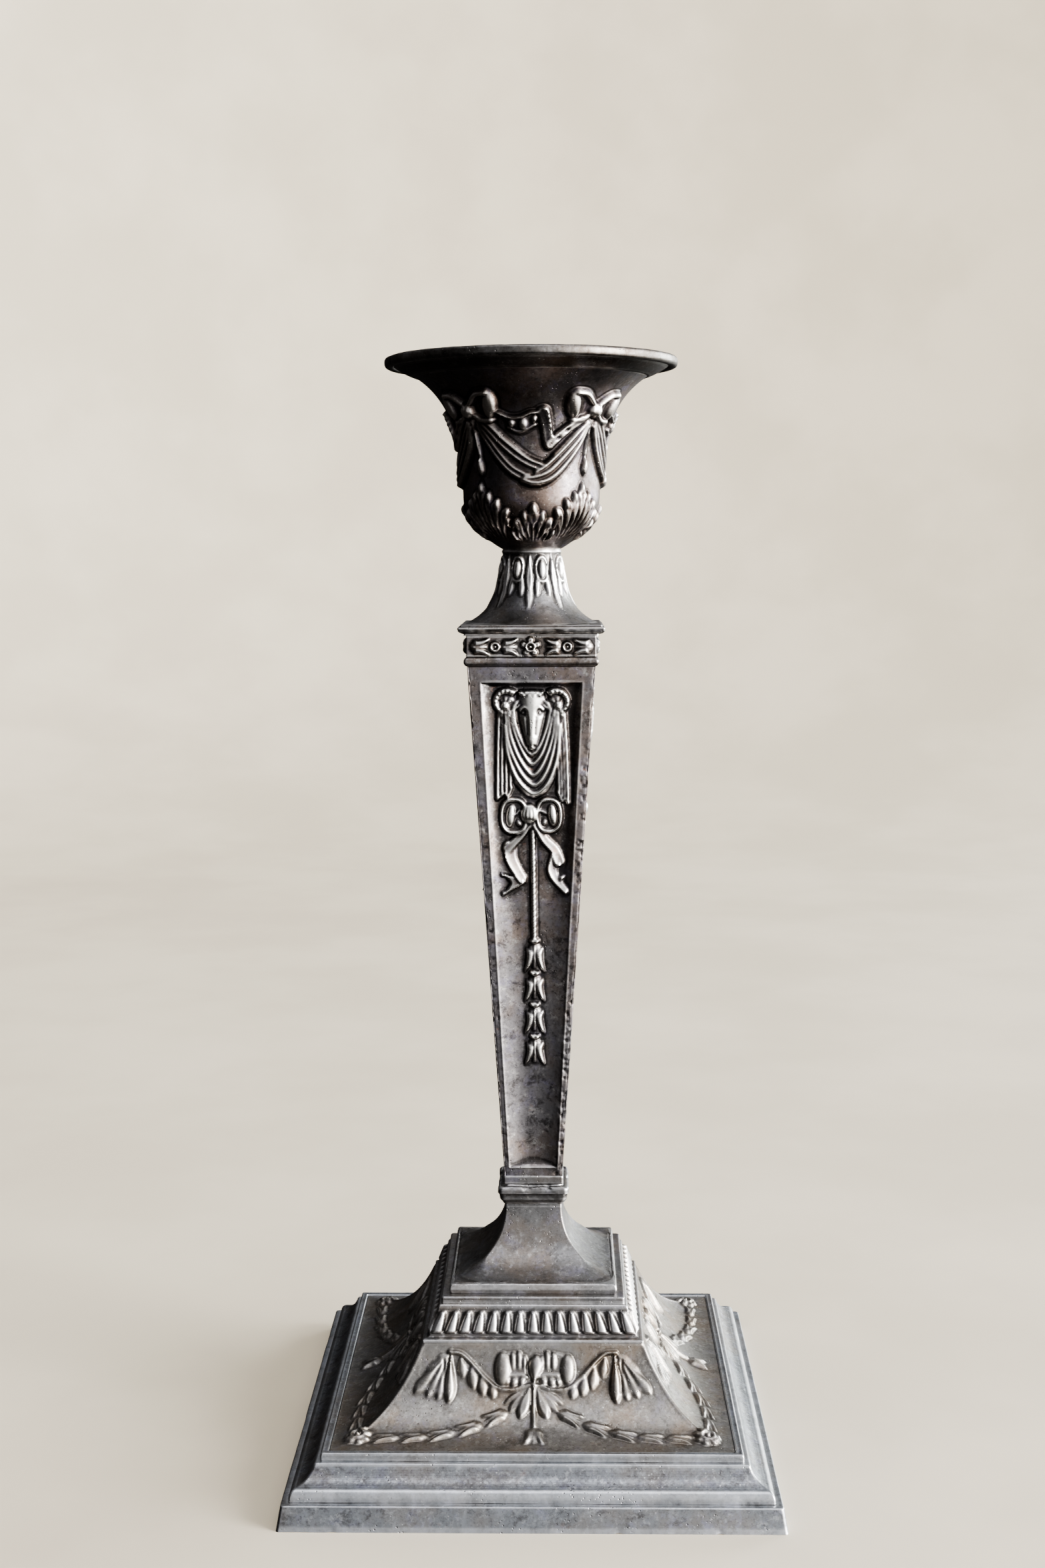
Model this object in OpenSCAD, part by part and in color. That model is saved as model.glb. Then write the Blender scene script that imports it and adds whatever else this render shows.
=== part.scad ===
// Table candlestick in stamped silver plate: a square stepped foot with a concave skirt,
// a square column that widens upwards, an urn-shaped candle holder and a lift-out nozzle.
// Millimetres, +Z up. The origin is the centre of the foot, on the table.
// The front face looks along -Y. All four faces carry the same ornament.

/* [Foot] */
// Side of the square foot at the table
foot_side = 127; // [122:1:132]
// Height of the upright foot rim
foot_rim_h = 6.3; // [5.6:0.1:7.5]
// How far the foot rim leans inwards over its height
foot_rim_lean = 1; // [0.4:0.1:1.4]
// Height of the rounded ovolo above the foot rim
ovolo_h = 3; // [2.6:0.1:4]
// Height of the hollow moulding above the ovolo
hollow_h = 4.4; // [3.8:0.1:6]
// Height of the raised border round the foot's flat field
border_h = 2; // [1.8:0.1:2.4]

/* [Skirt and plinth] */
// Side of the foot's flat field, inside the raised border
field_side = 102.4; // [99:0.2:103]
// Side of the skirt's top edge
skirt_top_side = 58.2; // [56:0.2:60]
// Height of the concave skirt
skirt_h = 18.8; // [16:0.2:24]
// Height of the fluted band
band_h = 8.8; // [8:0.1:11]
// Side of the fluted band's top edge
band_top_side = 48.6; // [47:0.2:50]
// Flutes along each side of the band
flute_count = 15; // [9:2:19]
// Height of the step moulding on the band
step_h = 1.9; // [1.5:0.1:3]
// Side of the plinth under the base neck
plinth_side = 44.6; // [43:0.2:45.4]
// Height of the plinth
plinth_h = 2.6; // [2.2:0.1:3.4]
// Height of the concave neck that joins the plinth to the column
neck_h = 17.2; // [14:0.2:22]

/* [Column] */
// Widest side of the collar under the column
collar_side = 19.2; // [18:0.1:21]
// Height of the collar
collar_h = 5.5; // [4.5:0.1:7]
// Height of the plain fillet between the collar and the column
fillet_h = 2.4; // [1.6:0.1:4]
// Side of the column at its foot
column_foot_side = 15.6; // [14.6:0.1:16.4]
// Side of the column at its top
column_top_side = 33.2; // [31:0.2:34]
// Height of the column's tapered panels
column_h = 138.3; // [110:0.5:160]
// Depth of the sunk field in each column panel
panel_sink = 1.5; // [0.8:0.1:1.8]

/* [Capital] */
// Side of the round-edged astragal
astragal_side = 35; // [34.6:0.1:36]
// Height of the astragal
astragal_h = 2.7; // [2:0.1:3.5]
// Side of the plain ground of the frieze
frieze_side = 33.6; // [32.6:0.1:34]
// Height of the frieze
frieze_h = 5.4; // [5:0.1:7]
// Widest side of the square abacus
abacus_side = 38.1; // [37.4:0.1:40]
// Height of the abacus
abacus_h = 2.7; // [2.2:0.1:3.5]

/* [Urn] */
// Height of the round trumpet neck under the urn
trumpet_h = 19.4; // [17:0.2:23]
// Radius of the trumpet neck where it meets the abacus
trumpet_foot_r = 17.5; // [16.5:0.1:18.2]
// Smallest radius of the trumpet neck
trumpet_top_r = 7.6; // [7:0.1:8.5]
// Height of the urn from the trumpet neck to its lip
urn_h = 44.6; // [42:0.2:50]
// Radius of the urn's belly
belly_r = 18.1; // [17.4:0.1:19]
// Radius of the urn's flared lip
lip_r = 30.3; // [29.4:0.1:31]

/* [Nozzle] */
// Diameter of the candle that the nozzle holds
candle_d = 22; // [21:0.5:22.5]
// Diameter across the nozzle's rim wire
pan_d = 76.6; // [74:0.2:80]
// Height of the nozzle's rim wire
rim_wire_h = 2.7; // [2.2:0.1:3.2]
// How far the pan rises from the urn's lip to the underside of the rim wire
pan_rise = 2.1; // [1.5:0.1:3]
// Depth of the candle tube below the urn's lip
tube_depth = 28; // [22:0.5:30]
// Running clearance between the candle tube and the liner
tube_clearance = 0.2; // [0.1:0.05:0.3]

/* [Sheet and inner parts] */
// Thickness of the stamped sheet
sheet_t = 0.9; // [0.7:0.05:1.1]
// Radius of the iron tie rod
rod_r = 2; // [1.5:0.1:2.4]
// Thickness of the green baize under the board
baize_t = 1.2; // [0.8:0.1:1.4]

/* [Hidden] */

// Round surfaces
$fn = 96;
curve_steps = 10;
slack = 0.25;

// Levels, from the table up
rim_top_z = foot_rim_h;
ovolo_top_z = rim_top_z + ovolo_h;
hollow_top_z = ovolo_top_z + hollow_h;
border_top_z = hollow_top_z + border_h;
field_z = border_top_z - 0.4;
skirt_top_z = field_z + skirt_h + 0.4;
band_top_z = skirt_top_z + band_h;
step_top_z = band_top_z + step_h;
plinth_top_z = step_top_z + plinth_h;
neck_top_z = plinth_top_z + neck_h;
collar_top_z = neck_top_z + collar_h;
column_foot_z = collar_top_z + fillet_h;
column_top_z = column_foot_z + column_h;
astragal_top_z = column_top_z + astragal_h;
frieze_top_z = astragal_top_z + frieze_h;
abacus_top_z = frieze_top_z + abacus_h;
trumpet_top_z = abacus_top_z + trumpet_h;
lip_z = trumpet_top_z + urn_h;
rim_wire_z = lip_z + pan_rise;

// Half widths and radii
foot_w = foot_side / 2;
rim_top_w = foot_w - foot_rim_lean;
field_w = field_side / 2;
border_w = field_w + 2.2;
hollow_top_w = border_w + 1.4;
ovolo_w = rim_top_w - 1.9;
ovolo_top_w = rim_top_w - 3.8;
skirt_top_w = skirt_top_side / 2;
flute_foot_w = skirt_top_w - 1.75;
band_top_w = band_top_side / 2;
flute_top_w = band_top_w + 1;
plinth_w = plinth_side / 2;
plinth_top_w = plinth_w - 0.9;
neck_top_w = 7.7;
collar_w = collar_side / 2;
fillet_w = column_foot_side / 2 + 0.35;
column_foot_w = column_foot_side / 2;
column_top_w = column_top_side / 2;
frieze_w = frieze_side / 2;
abacus_w = abacus_side / 2;
core_hole_w = 5;
tube_r = candle_d / 2 + 0.8;
liner_r = tube_r + tube_clearance;
rim_r = pan_d / 2;
urn_floor_z = trumpet_top_z + 8;
urn_floor_r = belly_r - 3.4;
nut_h = 3;
nut_r = rod_r * 2;

// ---------------------------------------------------------------- helpers

// Points on a curve from a to c that is pulled towards b
function bend(a, b, c, n = curve_steps) = [
    for (i = [0:n])
        let (t = i / n)
        (1 - t) * (1 - t) * a + 2 * t * (1 - t) * b + t * t * c
];

// Points on an elliptic quarter that bulges outwards, from a to c
function bulge(a, c, n = curve_steps) = [
    for (i = [0:n])
        let (t = 90 * i / n)
        [c[0] + (a[0] - c[0]) * cos(t), a[1] + (c[1] - a[1]) * sin(t)]
];

// Unit normal at a point of a rising outline, towards the axis
function inward(p, i) =
    let (d = p[min(i + 1, len(p) - 1)] - p[max(i - 1, 0)])
    [-d[1], d[0]] / norm(d);

// An outline moved inwards by t, with its two ends kept at their own heights
function inset(p, t) = [
    for (i = [0:len(p) - 1])
        (i == 0 || i == len(p) - 1) ? p[i] - [t * 1.15, 0] : p[i] + t * inward(p, i)
];

function backwards(p) = [for (i = [len(p) - 1:-1:0]) p[i]];

// A ring with a square plan; the outline's x is its half width
module square_ring(outline) {
    rotate(45)
        rotate_extrude($fn = 4)
            polygon([for (p = outline) [p[0] * sqrt(2), p[1]]]);
}

// A flat square plate with its centre on the axis
module square_plate(half_w, z, h) {
    translate([-half_w, -half_w, z])
        cube([2 * half_w, 2 * half_w, h]);
}

module on_four_sides() {
    for (turn = [0:90:270])
        rotate(turn)
            children();
}

// Half width of the column at a height
function column_w(z) =
    column_foot_w + (column_top_w - column_foot_w) * (z - column_foot_z) / column_h;

// ---------------------------------------------------------------- foot

module foot_rim() {
    edge_round = 0.45;
    flange_in_w = ovolo_w - 1.1;
    flange_z = rim_top_z - sheet_t;
    color("silver")
        square_ring(concat(
            [[foot_w, 0]],
            bulge([rim_top_w, rim_top_z - edge_round], [rim_top_w - edge_round, rim_top_z], 4),
            [
                [flange_in_w, rim_top_z],
                [flange_in_w, flange_z],
                [rim_top_w - sheet_t - 0.1, flange_z],
                [foot_w - sheet_t - 0.1, 0]
            ]
        ));
}

// Outside of the ovolo and the hollow above it
foot_moulding_line = concat(
    [[ovolo_w, rim_top_z]],
    bulge([ovolo_w, rim_top_z + 0.6], [ovolo_top_w, ovolo_top_z], 6),
    bend(
        [ovolo_top_w - 0.2, ovolo_top_z + 0.1],
        [hollow_top_w + 1, ovolo_top_z + 0.9],
        [hollow_top_w, hollow_top_z],
        8
    )
);

module foot_moulding() {
    ledge_w = border_w - 1.4;
    inside = inset(foot_moulding_line, sheet_t);
    color("silver")
        square_ring(concat(
            foot_moulding_line,
            [
                [ledge_w, hollow_top_z],
                [ledge_w, hollow_top_z - sheet_t]
            ],
            [for (p = backwards(inside)) if (p[1] < hollow_top_z - sheet_t) p]
        ));
}

module foot_border() {
    bead = 0.5;
    color("silver")
        square_ring(concat(
            [[border_w, hollow_top_z]],
            bulge([border_w, border_top_z - 2 * bead], [border_w - 2 * bead, border_top_z], 5),
            [
                [field_w + bead, border_top_z],
                [field_w, field_z],
                [field_w, hollow_top_z]
            ]
        ));
}

// ---------------------------------------------------------------- skirt and plinth

skirt_line = bend(
    [field_w, field_z],
    [field_w - 14.4, field_z],
    [skirt_top_w, skirt_top_z],
    14
);

// A flower of round petals that stands up from a flat ground
module flower(r, petals, h) {
    cylinder(r = r * 0.4, h = h * 1.2, $fn = 24);
    for (i = [0:petals - 1])
        rotate(i * 360 / petals)
            translate([r * 0.62, 0, 0])
                cylinder(r = r * 0.36, h = h, $fn = 24);
}

module base_skirt() {
    inside = inset(skirt_line, sheet_t);
    last = len(skirt_line) - 1;
    corner_w = field_w - 4.6;
    color("silver") {
        square_ring(concat(
            skirt_line,
            [inside[last]],
            [for (i = [last - 1:-1:1]) inside[i]],
            [[field_w, field_z - sheet_t]]
        ));
        on_four_sides()
            translate([corner_w, -corner_w, field_z - 0.2])
                flower(3.2, 6, 1.3);
    }
}

band_line = concat(
    [[skirt_top_w, skirt_top_z]],
    bulge([skirt_top_w, skirt_top_z + 0.3], [skirt_top_w - 0.5, skirt_top_z + 0.8], 3),
    bend(
        [skirt_top_w - 0.7, skirt_top_z + 0.9],
        [flute_foot_w, skirt_top_z + 1],
        [flute_foot_w, skirt_top_z + 1.9],
        4
    ),
    [
        [flute_top_w, band_top_z - 1.5],
        [flute_top_w - 0.2, band_top_z - 1.2],
        [band_top_w, band_top_z]
    ]
);

// One raised flute on the front of the band: broad at its foot and narrow at its top
module flute() {
    foot_half = 0.85;
    top_half = 0.4;
    chamfer = 0.5;
    proud = 0.6;
    foot_z = skirt_top_z + 2.4;
    length = band_top_z - 1.7 - foot_z;
    run = flute_foot_w - flute_top_w;
    rise = band_top_z - 1.5 - skirt_top_z - 1.9;
    lean = atan(run / rise);
    start_w = flute_foot_w - (foot_z - skirt_top_z - 1.9) * run / rise;
    translate([0, -start_w, foot_z])
        rotate([90 - lean, 0, 0])
            translate([0, 0, -0.5])
                linear_extrude(proud + 0.5)
                    polygon([
                        [-foot_half + chamfer, 0],
                        [foot_half - chamfer, 0],
                        [foot_half, chamfer],
                        [top_half, length - top_half],
                        [0, length],
                        [-top_half, length - top_half],
                        [-foot_half, chamfer]
                    ]);
}

module fluted_band() {
    pitch = 2 * (flute_top_w - 0.6) / flute_count;
    wall = 1.2;
    color("silver") {
        square_ring(concat(
            band_line,
            [
                [band_top_w - wall, band_top_z],
                [flute_top_w - wall - 0.4, band_top_z - 1.5],
                [flute_foot_w - wall, skirt_top_z]
            ]
        ));
        on_four_sides()
            for (i = [0:flute_count - 1])
                translate([(i - (flute_count - 1) / 2) * pitch, 0, 0])
                    flute();
    }
}

module step_moulding() {
    edge = 0.5;
    color("silver")
        square_ring(concat(
            [[band_top_w, band_top_z]],
            bulge([band_top_w, step_top_z - edge], [band_top_w - edge, step_top_z], 4),
            [
                [plinth_w - 1.7, step_top_z],
                [band_top_w - 2.2, band_top_z]
            ]
        ));
}

neck_line = bend(
    [plinth_top_w - 0.7, plinth_top_z],
    [neck_top_w - 0.3, plinth_top_z + 4.4],
    [neck_top_w, neck_top_z],
    14
);

plinth_line = concat(
    [[plinth_w - 0.3, step_top_z]],
    bulge([plinth_w, step_top_z + 1], [plinth_top_w, plinth_top_z], 5),
    [[plinth_top_w - 0.3, plinth_top_z - 0.15]]
);

module base_neck() {
    wall = sheet_t * 1.2;
    inside = inset(neck_line, wall);
    corner_w = plinth_w - 1.9;
    color("silver")
        square_ring(concat(
            plinth_line,
            [for (i = [1:len(neck_line) - 1]) neck_line[i]],
            [for (i = [len(inside) - 1:-1:2]) inside[i]],
            [[corner_w, plinth_top_z - wall], [corner_w, step_top_z]]
        ));
}

// ---------------------------------------------------------------- column

module column_collar() {
    foot_w = neck_top_w + 0.6;
    top_z = collar_top_z - 1;
    color("silver")
        square_ring(concat(
            [[core_hole_w, neck_top_z], [foot_w, neck_top_z]],
            bulge([collar_w - 0.5, top_z - 3], [collar_w, top_z - 1.2], 2),
            bulge([collar_w, top_z], [fillet_w + 0.4, top_z + 0.6], 4),
            [[fillet_w, collar_top_z], [core_hole_w, collar_top_z]]
        ));
}

module column_fillet() {
    edge = 0.3;
    color("silver")
        square_ring([
            [core_hole_w, collar_top_z],
            [fillet_w, collar_top_z],
            [fillet_w, column_foot_z - edge],
            [fillet_w - edge, column_foot_z],
            [core_hole_w, column_foot_z]
        ]);
}

// The sunk field's edge: share of the column's half width that is inside it, and its ends
field_foot_z = column_foot_z + 1.2;
field_top_z = column_top_z - 3.5;
field_slope_h = 1.7;
field_in_share = 0.61;
field_out_top_share = 0.77;
field_out_foot_share = 0.87;

// A block with a rectangle at each end, whose front is a sloping plane
module sloping_block(z0, w0, y0, z1, w1, y1, depth) {
    polyhedron(
        points = [
            [-w0, y0, z0], [w0, y0, z0], [w0, y0 + depth, z0], [-w0, y0 + depth, z0],
            [-w1, y1, z1], [w1, y1, z1], [w1, y1 + depth, z1], [-w1, y1 + depth, z1]
        ],
        faces = [[0, 1, 2, 3], [4, 7, 6, 5], [0, 4, 5, 1], [1, 5, 6, 2], [2, 6, 7, 3], [3, 7, 4, 0]]
    );
}

// The hollow of the sunk field, with slanting sides
module panel_recess() {
    out_foot_w = column_w(field_foot_z) * field_out_foot_share;
    out_top_w = column_w(field_top_z) * field_out_top_share;
    in_foot_z = field_foot_z + field_slope_h;
    in_top_z = field_top_z - field_slope_h;
    in_foot_w = column_w(in_foot_z) * field_in_share;
    in_top_w = column_w(in_top_z) * field_in_share;
    proud = 0.01;
    function face(w, z, depth) = [w, -column_w(z) + depth, z];
    polyhedron(
        points = [
            face(-out_foot_w, field_foot_z, -proud),
            face(out_foot_w, field_foot_z, -proud),
            face(out_top_w, field_top_z, -proud),
            face(-out_top_w, field_top_z, -proud),
            face(-in_foot_w, in_foot_z, panel_sink),
            face(in_foot_w, in_foot_z, panel_sink),
            face(in_top_w, in_top_z, panel_sink),
            face(-in_top_w, in_top_z, panel_sink)
        ],
        faces = [
            [3, 2, 1, 0], [4, 5, 6, 7],
            [0, 1, 5], [0, 5, 4], [1, 2, 5], [5, 2, 6],
            [2, 3, 7], [2, 7, 6], [3, 0, 4], [3, 4, 7]
        ]
    );
}

// Places flat ornament on a panel's sunk field, with its own up along the slope
column_tilt = atan((column_top_w - column_foot_w) / column_h);

module on_panel(z, h) {
    bite = 0.3;
    translate([0, -column_w(z) + panel_sink + bite, z])
        rotate([90 + column_tilt, 0, 0])
            linear_extrude(h + bite)
                children();
}

module loop_pair(x, r, width) {
    for (side = [-1, 1])
        translate([side * x, 0])
            difference() {
                circle(r, $fn = 40);
                circle(r - width, $fn = 40);
            }
}

// A U-shaped fold that hangs between two points at the same height
module fold(half_w, drop, width) {
    polygon(concat(
        bend([-half_w, 0], [0, -2 * drop], [half_w, 0], 12),
        bend([half_w - width, 0], [0, -2 * (drop - width)], [width - half_w, 0], 12)
    ));
}

// A ribbon end that waves as it falls
module ribbon_tail(side) {
    polygon([for (p = [
        [0.3, 0], [1.6, 0], [7.2, -6], [6.3, -11], [8.2, -17], [4.6, -15], [4.4, -10.5], [5.2, -6.4]
    ]) [side * p[0], p[1]]]);
}

module bellflower(l) {
    polygon([
        [-0.8, 0], [0.8, 0], [1.6, -l * 0.45], [3, -l], [1.2, -l * 0.86],
        [0, -l], [-1.2, -l * 0.86], [-3, -l], [-1.6, -l * 0.45]
    ]);
}

// Ram's mask with hanging drapery, a ribbon bow, and a cord of four bellflowers
module panel_ornament() {
    head_z = column_top_z - 12;
    bow_z = column_top_z - 39;
    bells_z = column_top_z - 72.7;
    bell_l = 8.2;
    thin = 0.7;
    bold = 1.1;
    share = min(1, column_top_side / 33.2);
    on_panel(head_z, bold)
        scale(share)
            polygon([[-4.4, 4], [4.4, 4], [3.4, -2], [1.3, -9], [-1.3, -9], [-3.4, -2]]);
    on_panel(head_z + 1, bold)
        scale(share)
            loop_pair(6.2, 3.5, 1.6);
    on_panel(head_z - 2, thin)
        scale(share) {
            fold(7.8, 20, 3);
            for (side = [-1, 1])
                translate([side * 8, -12])
                    square([2.2, 22], center = true);
        }
    on_panel(bow_z, bold)
        circle(1.9, $fn = 40);
    on_panel(bow_z, thin)
        loop_pair(4.4, 3.8, 1.5);
    for (side = [-1, 1])
        on_panel(bow_z - 1.5, thin)
            ribbon_tail(side);
    on_panel(bow_z - 18, thin)
        square([0.9, 34], center = true);
    for (i = [0:3])
        on_panel(bells_z - i * (bell_l + 0.6), thin)
            bellflower(bell_l);
}

// One face of the column, mitred at both edges
module column_panel(turn) {
    panel_t = panel_sink + sheet_t;
    foot = column_foot_w;
    top = column_top_w;
    color("silver")
        rotate(turn) {
            panel_ornament();
            difference() {
                polyhedron(
                    points = [
                        [-foot, -foot, column_foot_z],
                        [foot, -foot, column_foot_z],
                        [foot - panel_t, panel_t - foot, column_foot_z],
                        [panel_t - foot, panel_t - foot, column_foot_z],
                        [-top, -top, column_top_z],
                        [top, -top, column_top_z],
                        [top - panel_t, panel_t - top, column_top_z],
                        [panel_t - top, panel_t - top, column_top_z]
                    ],
                    faces = [
                        [0, 1, 2, 3], [4, 7, 6, 5], [0, 4, 5, 1], [1, 5, 6, 2], [2, 6, 7, 3], [3, 7, 4, 0]
                    ]
                );
                panel_recess();
            }
        }
}

module column_panel_front() column_panel(0);
module column_panel_right() column_panel(90);
module column_panel_back() column_panel(180);
module column_panel_left() column_panel(270);

// ---------------------------------------------------------------- capital

module capital_astragal() {
    w = astragal_side / 2;
    r = astragal_h / 2;
    mid_z = column_top_z + r;
    color("silver")
        square_ring(concat(
            [[core_hole_w + 3, column_top_z]],
            [for (t = [-90:22.5:90]) [w - r + r * cos(t), mid_z + r * sin(t)]],
            [[core_hole_w + 3, astragal_top_z]]
        ));
}

// A husk bud lying in the X-Z plane, open towards +X
module husk(l, w, h) {
    rotate([90, 0, 0])
        linear_extrude(h)
            polygon([
                [-l / 2, 0], [-l / 6, -w / 2], [l / 2, -w / 2], [l / 4, -w / 6],
                [l / 2, 0],
                [l / 4, w / 6], [l / 2, w / 2], [-l / 6, w / 2]
            ]);
}

module capital_frieze() {
    mid_z = (astragal_top_z + frieze_top_z) / 2;
    inner_w = frieze_w - sheet_t * 2;
    ornament_h = 0.7;
    bead_x = 9;
    color("silver") {
        difference() {
            square_plate(frieze_w, astragal_top_z, frieze_h);
            translate([0, 0, -1])
                square_plate(inner_w, astragal_top_z, frieze_h + 2);
        }
        on_four_sides()
            translate([0, -frieze_w + 0.1, mid_z]) {
                rotate([90, 0, 0])
                    flower(2.2, 5, ornament_h);
                for (side = [-1, 1]) {
                    translate([side * bead_x, 0, 0])
                        rotate([90, 0, 0])
                            cylinder(r = 0.8, h = ornament_h, $fn = 24);
                    for (x = [5, 13])
                        translate([side * x, 0, 0])
                            rotate([0, x < bead_x ? (side > 0 ? 180 : 0) : (side > 0 ? 0 : 180), 0])
                                husk(4.6, 2.8, ornament_h);
                }
            }
    }
}

module capital_abacus() {
    under_w = frieze_w + 0.6;
    top_w = abacus_w - 0.5;
    wide_z = frieze_top_z + abacus_h * 0.52;
    color("silver")
        square_ring(concat(
            [[core_hole_w, frieze_top_z], [under_w, frieze_top_z]],
            bend([under_w, frieze_top_z + 0.3], [abacus_w, frieze_top_z + 0.5], [abacus_w, wide_z], 4),
            [
                [abacus_w, wide_z + 0.3],
                [top_w, wide_z + 0.9],
                [top_w, abacus_top_z],
                [core_hole_w, abacus_top_z]
            ]
        ));
}

// ---------------------------------------------------------------- urn

trumpet_line = bend(
    [trumpet_foot_r, abacus_top_z],
    [trumpet_top_r, abacus_top_z + 4.2],
    [trumpet_top_r, trumpet_top_z],
    14
);

module trumpet_neck() {
    wall = sheet_t * 1.2;
    inside = inset(trumpet_line, wall);
    color("silver")
        rotate_extrude()
            polygon(concat(
                trumpet_line,
                [for (p = backwards(inside)) if (p[1] > abacus_top_z + 0.3) p],
                [[trumpet_foot_r - wall * 1.5, abacus_top_z]]
            ));
}

// Outside of the urn: a round bowl, then a body that flares out to the lip
bowl_top_z = trumpet_top_z + 14;
flare_z = lip_z - 16;
flare_r = belly_r + 1.6;
urn_line = concat(
    bend(
        [trumpet_top_r + 0.2, trumpet_top_z],
        [belly_r, trumpet_top_z + 6],
        [belly_r - 0.1, bowl_top_z],
        12
    ),
    bend([belly_r, bowl_top_z + 3], [belly_r + 0.1, flare_z - 5], [flare_r, flare_z], 6),
    bend(
        [flare_r + 0.3, flare_z + 1.2],
        [lip_r - 7.7, lip_z - 5.1],
        [lip_r, lip_z],
        10
    )
);

module urn_shell() {
    wall = sheet_t * 1.2;
    inside = inset(urn_line, wall);
    color("silver")
        difference() {
            rotate_extrude()
                polygon(concat(
                    [[0, trumpet_top_z]],
                    urn_line,
                    [for (p = backwards(inside)) if (p[1] > urn_floor_z + 1 && p[0] > urn_floor_r) p],
                    [[urn_floor_r, urn_floor_z], [0, urn_floor_z]]
                ));
            translate([0, 0, trumpet_top_z - 1])
                cylinder(r = rod_r, h = urn_floor_z - trumpet_top_z + 2, $fn = 48);
        }
}

liner_top_z = lip_z - 7.5;

module socket_liner() {
    color("silver")
        translate([0, 0, urn_floor_z])
            difference() {
                cylinder(r = liner_r + sheet_t, h = liner_top_z - urn_floor_z);
                translate([0, 0, -1])
                    cylinder(r = liner_r, h = liner_top_z - urn_floor_z + 2);
            }
}

socket_floor_t = 1;
tube_floor_z = lip_z - tube_depth;

module socket_floor() {
    color("darkgray")
        translate([0, 0, tube_floor_z - socket_floor_t])
            cylinder(r = liner_r, h = socket_floor_t);
}

// ---------------------------------------------------------------- nozzle

throat_z = lip_z - 3.6;
throat_top_z = throat_z + sheet_t * 0.5;

module nozzle_tube() {
    floor_t = 0.8;
    color("silver")
        difference() {
            translate([0, 0, tube_floor_z])
                cylinder(r = tube_r, h = throat_top_z - tube_floor_z);
            translate([0, 0, tube_floor_z + floor_t])
                cylinder(r = candle_d / 2, h = tube_depth);
        }
}

wire_r = rim_wire_h / 2;
wire_mid_r = rim_r - wire_r;
wire_mid_z = rim_wire_z + wire_r;
pan_edge_r = wire_mid_r - wire_r * 0.75;

// The pan lies on the urn's lip and falls gently to the candle tube
module nozzle_pan() {
    seat_in_r = lip_r - 1.6;
    seat_out_r = lip_r + 0.5;
    edge_z = wire_mid_z - 0.85;
    color("silver")
        rotate_extrude()
            polygon([
                [tube_r, throat_z],
                [tube_r + 0.6, throat_z],
                [seat_in_r, lip_z],
                [seat_out_r, lip_z],
                [pan_edge_r, edge_z],
                [pan_edge_r, edge_z + sheet_t],
                [seat_out_r, lip_z + sheet_t],
                [seat_in_r, lip_z + sheet_t],
                [tube_r + 0.6, throat_z + sheet_t],
                [tube_r, throat_top_z]
            ]);
}

module nozzle_rim_wire() {
    color("silver")
        rotate_extrude()
            difference() {
                translate([wire_mid_r, wire_mid_z])
                    circle(wire_r, $fn = 32);
                translate([pan_edge_r - 2 * rim_wire_h, rim_wire_z - 1])
                    square([2 * rim_wire_h, rim_wire_h + 2]);
            }
}

// ---------------------------------------------------------------- inner parts

nut_bottom_z = baize_t + 0.2;
counterbore_h = nut_h + 0.2;

module tie_rod() {
    color("dimgray")
        translate([0, 0, nut_bottom_z])
            cylinder(r = rod_r, h = urn_floor_z + nut_h - nut_bottom_z, $fn = 48);
}

module hex_nut(z) {
    color("dimgray")
        translate([0, 0, z])
            difference() {
                cylinder(r = nut_r, h = nut_h, $fn = 6);
                translate([0, 0, -1])
                    cylinder(r = rod_r, h = nut_h + 2, $fn = 48);
            }
}

module tie_nut_top() hex_nut(urn_floor_z);
module tie_nut_bottom() hex_nut(nut_bottom_z);

diaphragm_t = 1.6;
diaphragm_z = column_top_z - diaphragm_t;

module column_diaphragm() {
    w = column_w(diaphragm_z) - panel_sink - sheet_t;
    color("silver")
        difference() {
            square_plate(w, diaphragm_z, diaphragm_t);
            translate([0, 0, diaphragm_z - 1])
                cylinder(r = rod_r, h = diaphragm_t + 2, $fn = 48);
        }
}

// Pitch poured round the rod in the lower part of the column
module column_core() {
    top_z = column_foot_z + column_h * 0.55;
    wall = panel_sink + sheet_t + slack;
    foot = min(column_foot_w - wall, core_hole_w + 1);
    top = column_w(top_z) - wall;
    color("saddlebrown")
        difference() {
            square_ring([
                [0, column_foot_z],
                [foot, column_foot_z],
                [top, top_z],
                [0, top_z]
            ]);
            translate([0, 0, column_foot_z - 1])
                cylinder(r = rod_r, h = column_h, $fn = 48);
        }
}

// Pitch and plaster poured into the foot and the skirt
module base_loading() {
    gap = sheet_t + slack;
    board_top_z = rim_top_z - sheet_t;
    neck_in = inset(neck_line, gap * 1.3);
    skirt_in = inset(skirt_line, gap);
    color("saddlebrown")
        difference() {
            square_ring(concat(
                [
                    [0, board_top_z],
                    [ovolo_w - 2.6, board_top_z],
                    [ovolo_top_w - 2.2, ovolo_top_z],
                    [border_w - 2, hollow_top_z - 1.6]
                ],
                [for (i = [1:len(skirt_in) - 3]) skirt_in[i]],
                [
                    [flute_foot_w - 2.2, skirt_top_z - 1.4],
                    [flute_foot_w - 2.6, skirt_top_z + 2],
                    [band_top_w - 2.4, band_top_z],
                    [plinth_w - 2.6, step_top_z + 0.5],
                    [plinth_top_w - 2.6, plinth_top_z - 1.6]
                ],
                [for (i = [3:len(neck_in) - 2]) neck_in[i]],
                [[0, neck_in[len(neck_in) - 2][1]]]
            ));
            translate([0, 0, -1])
                cylinder(r = rod_r, h = neck_top_z, $fn = 48);
        }
}

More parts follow.
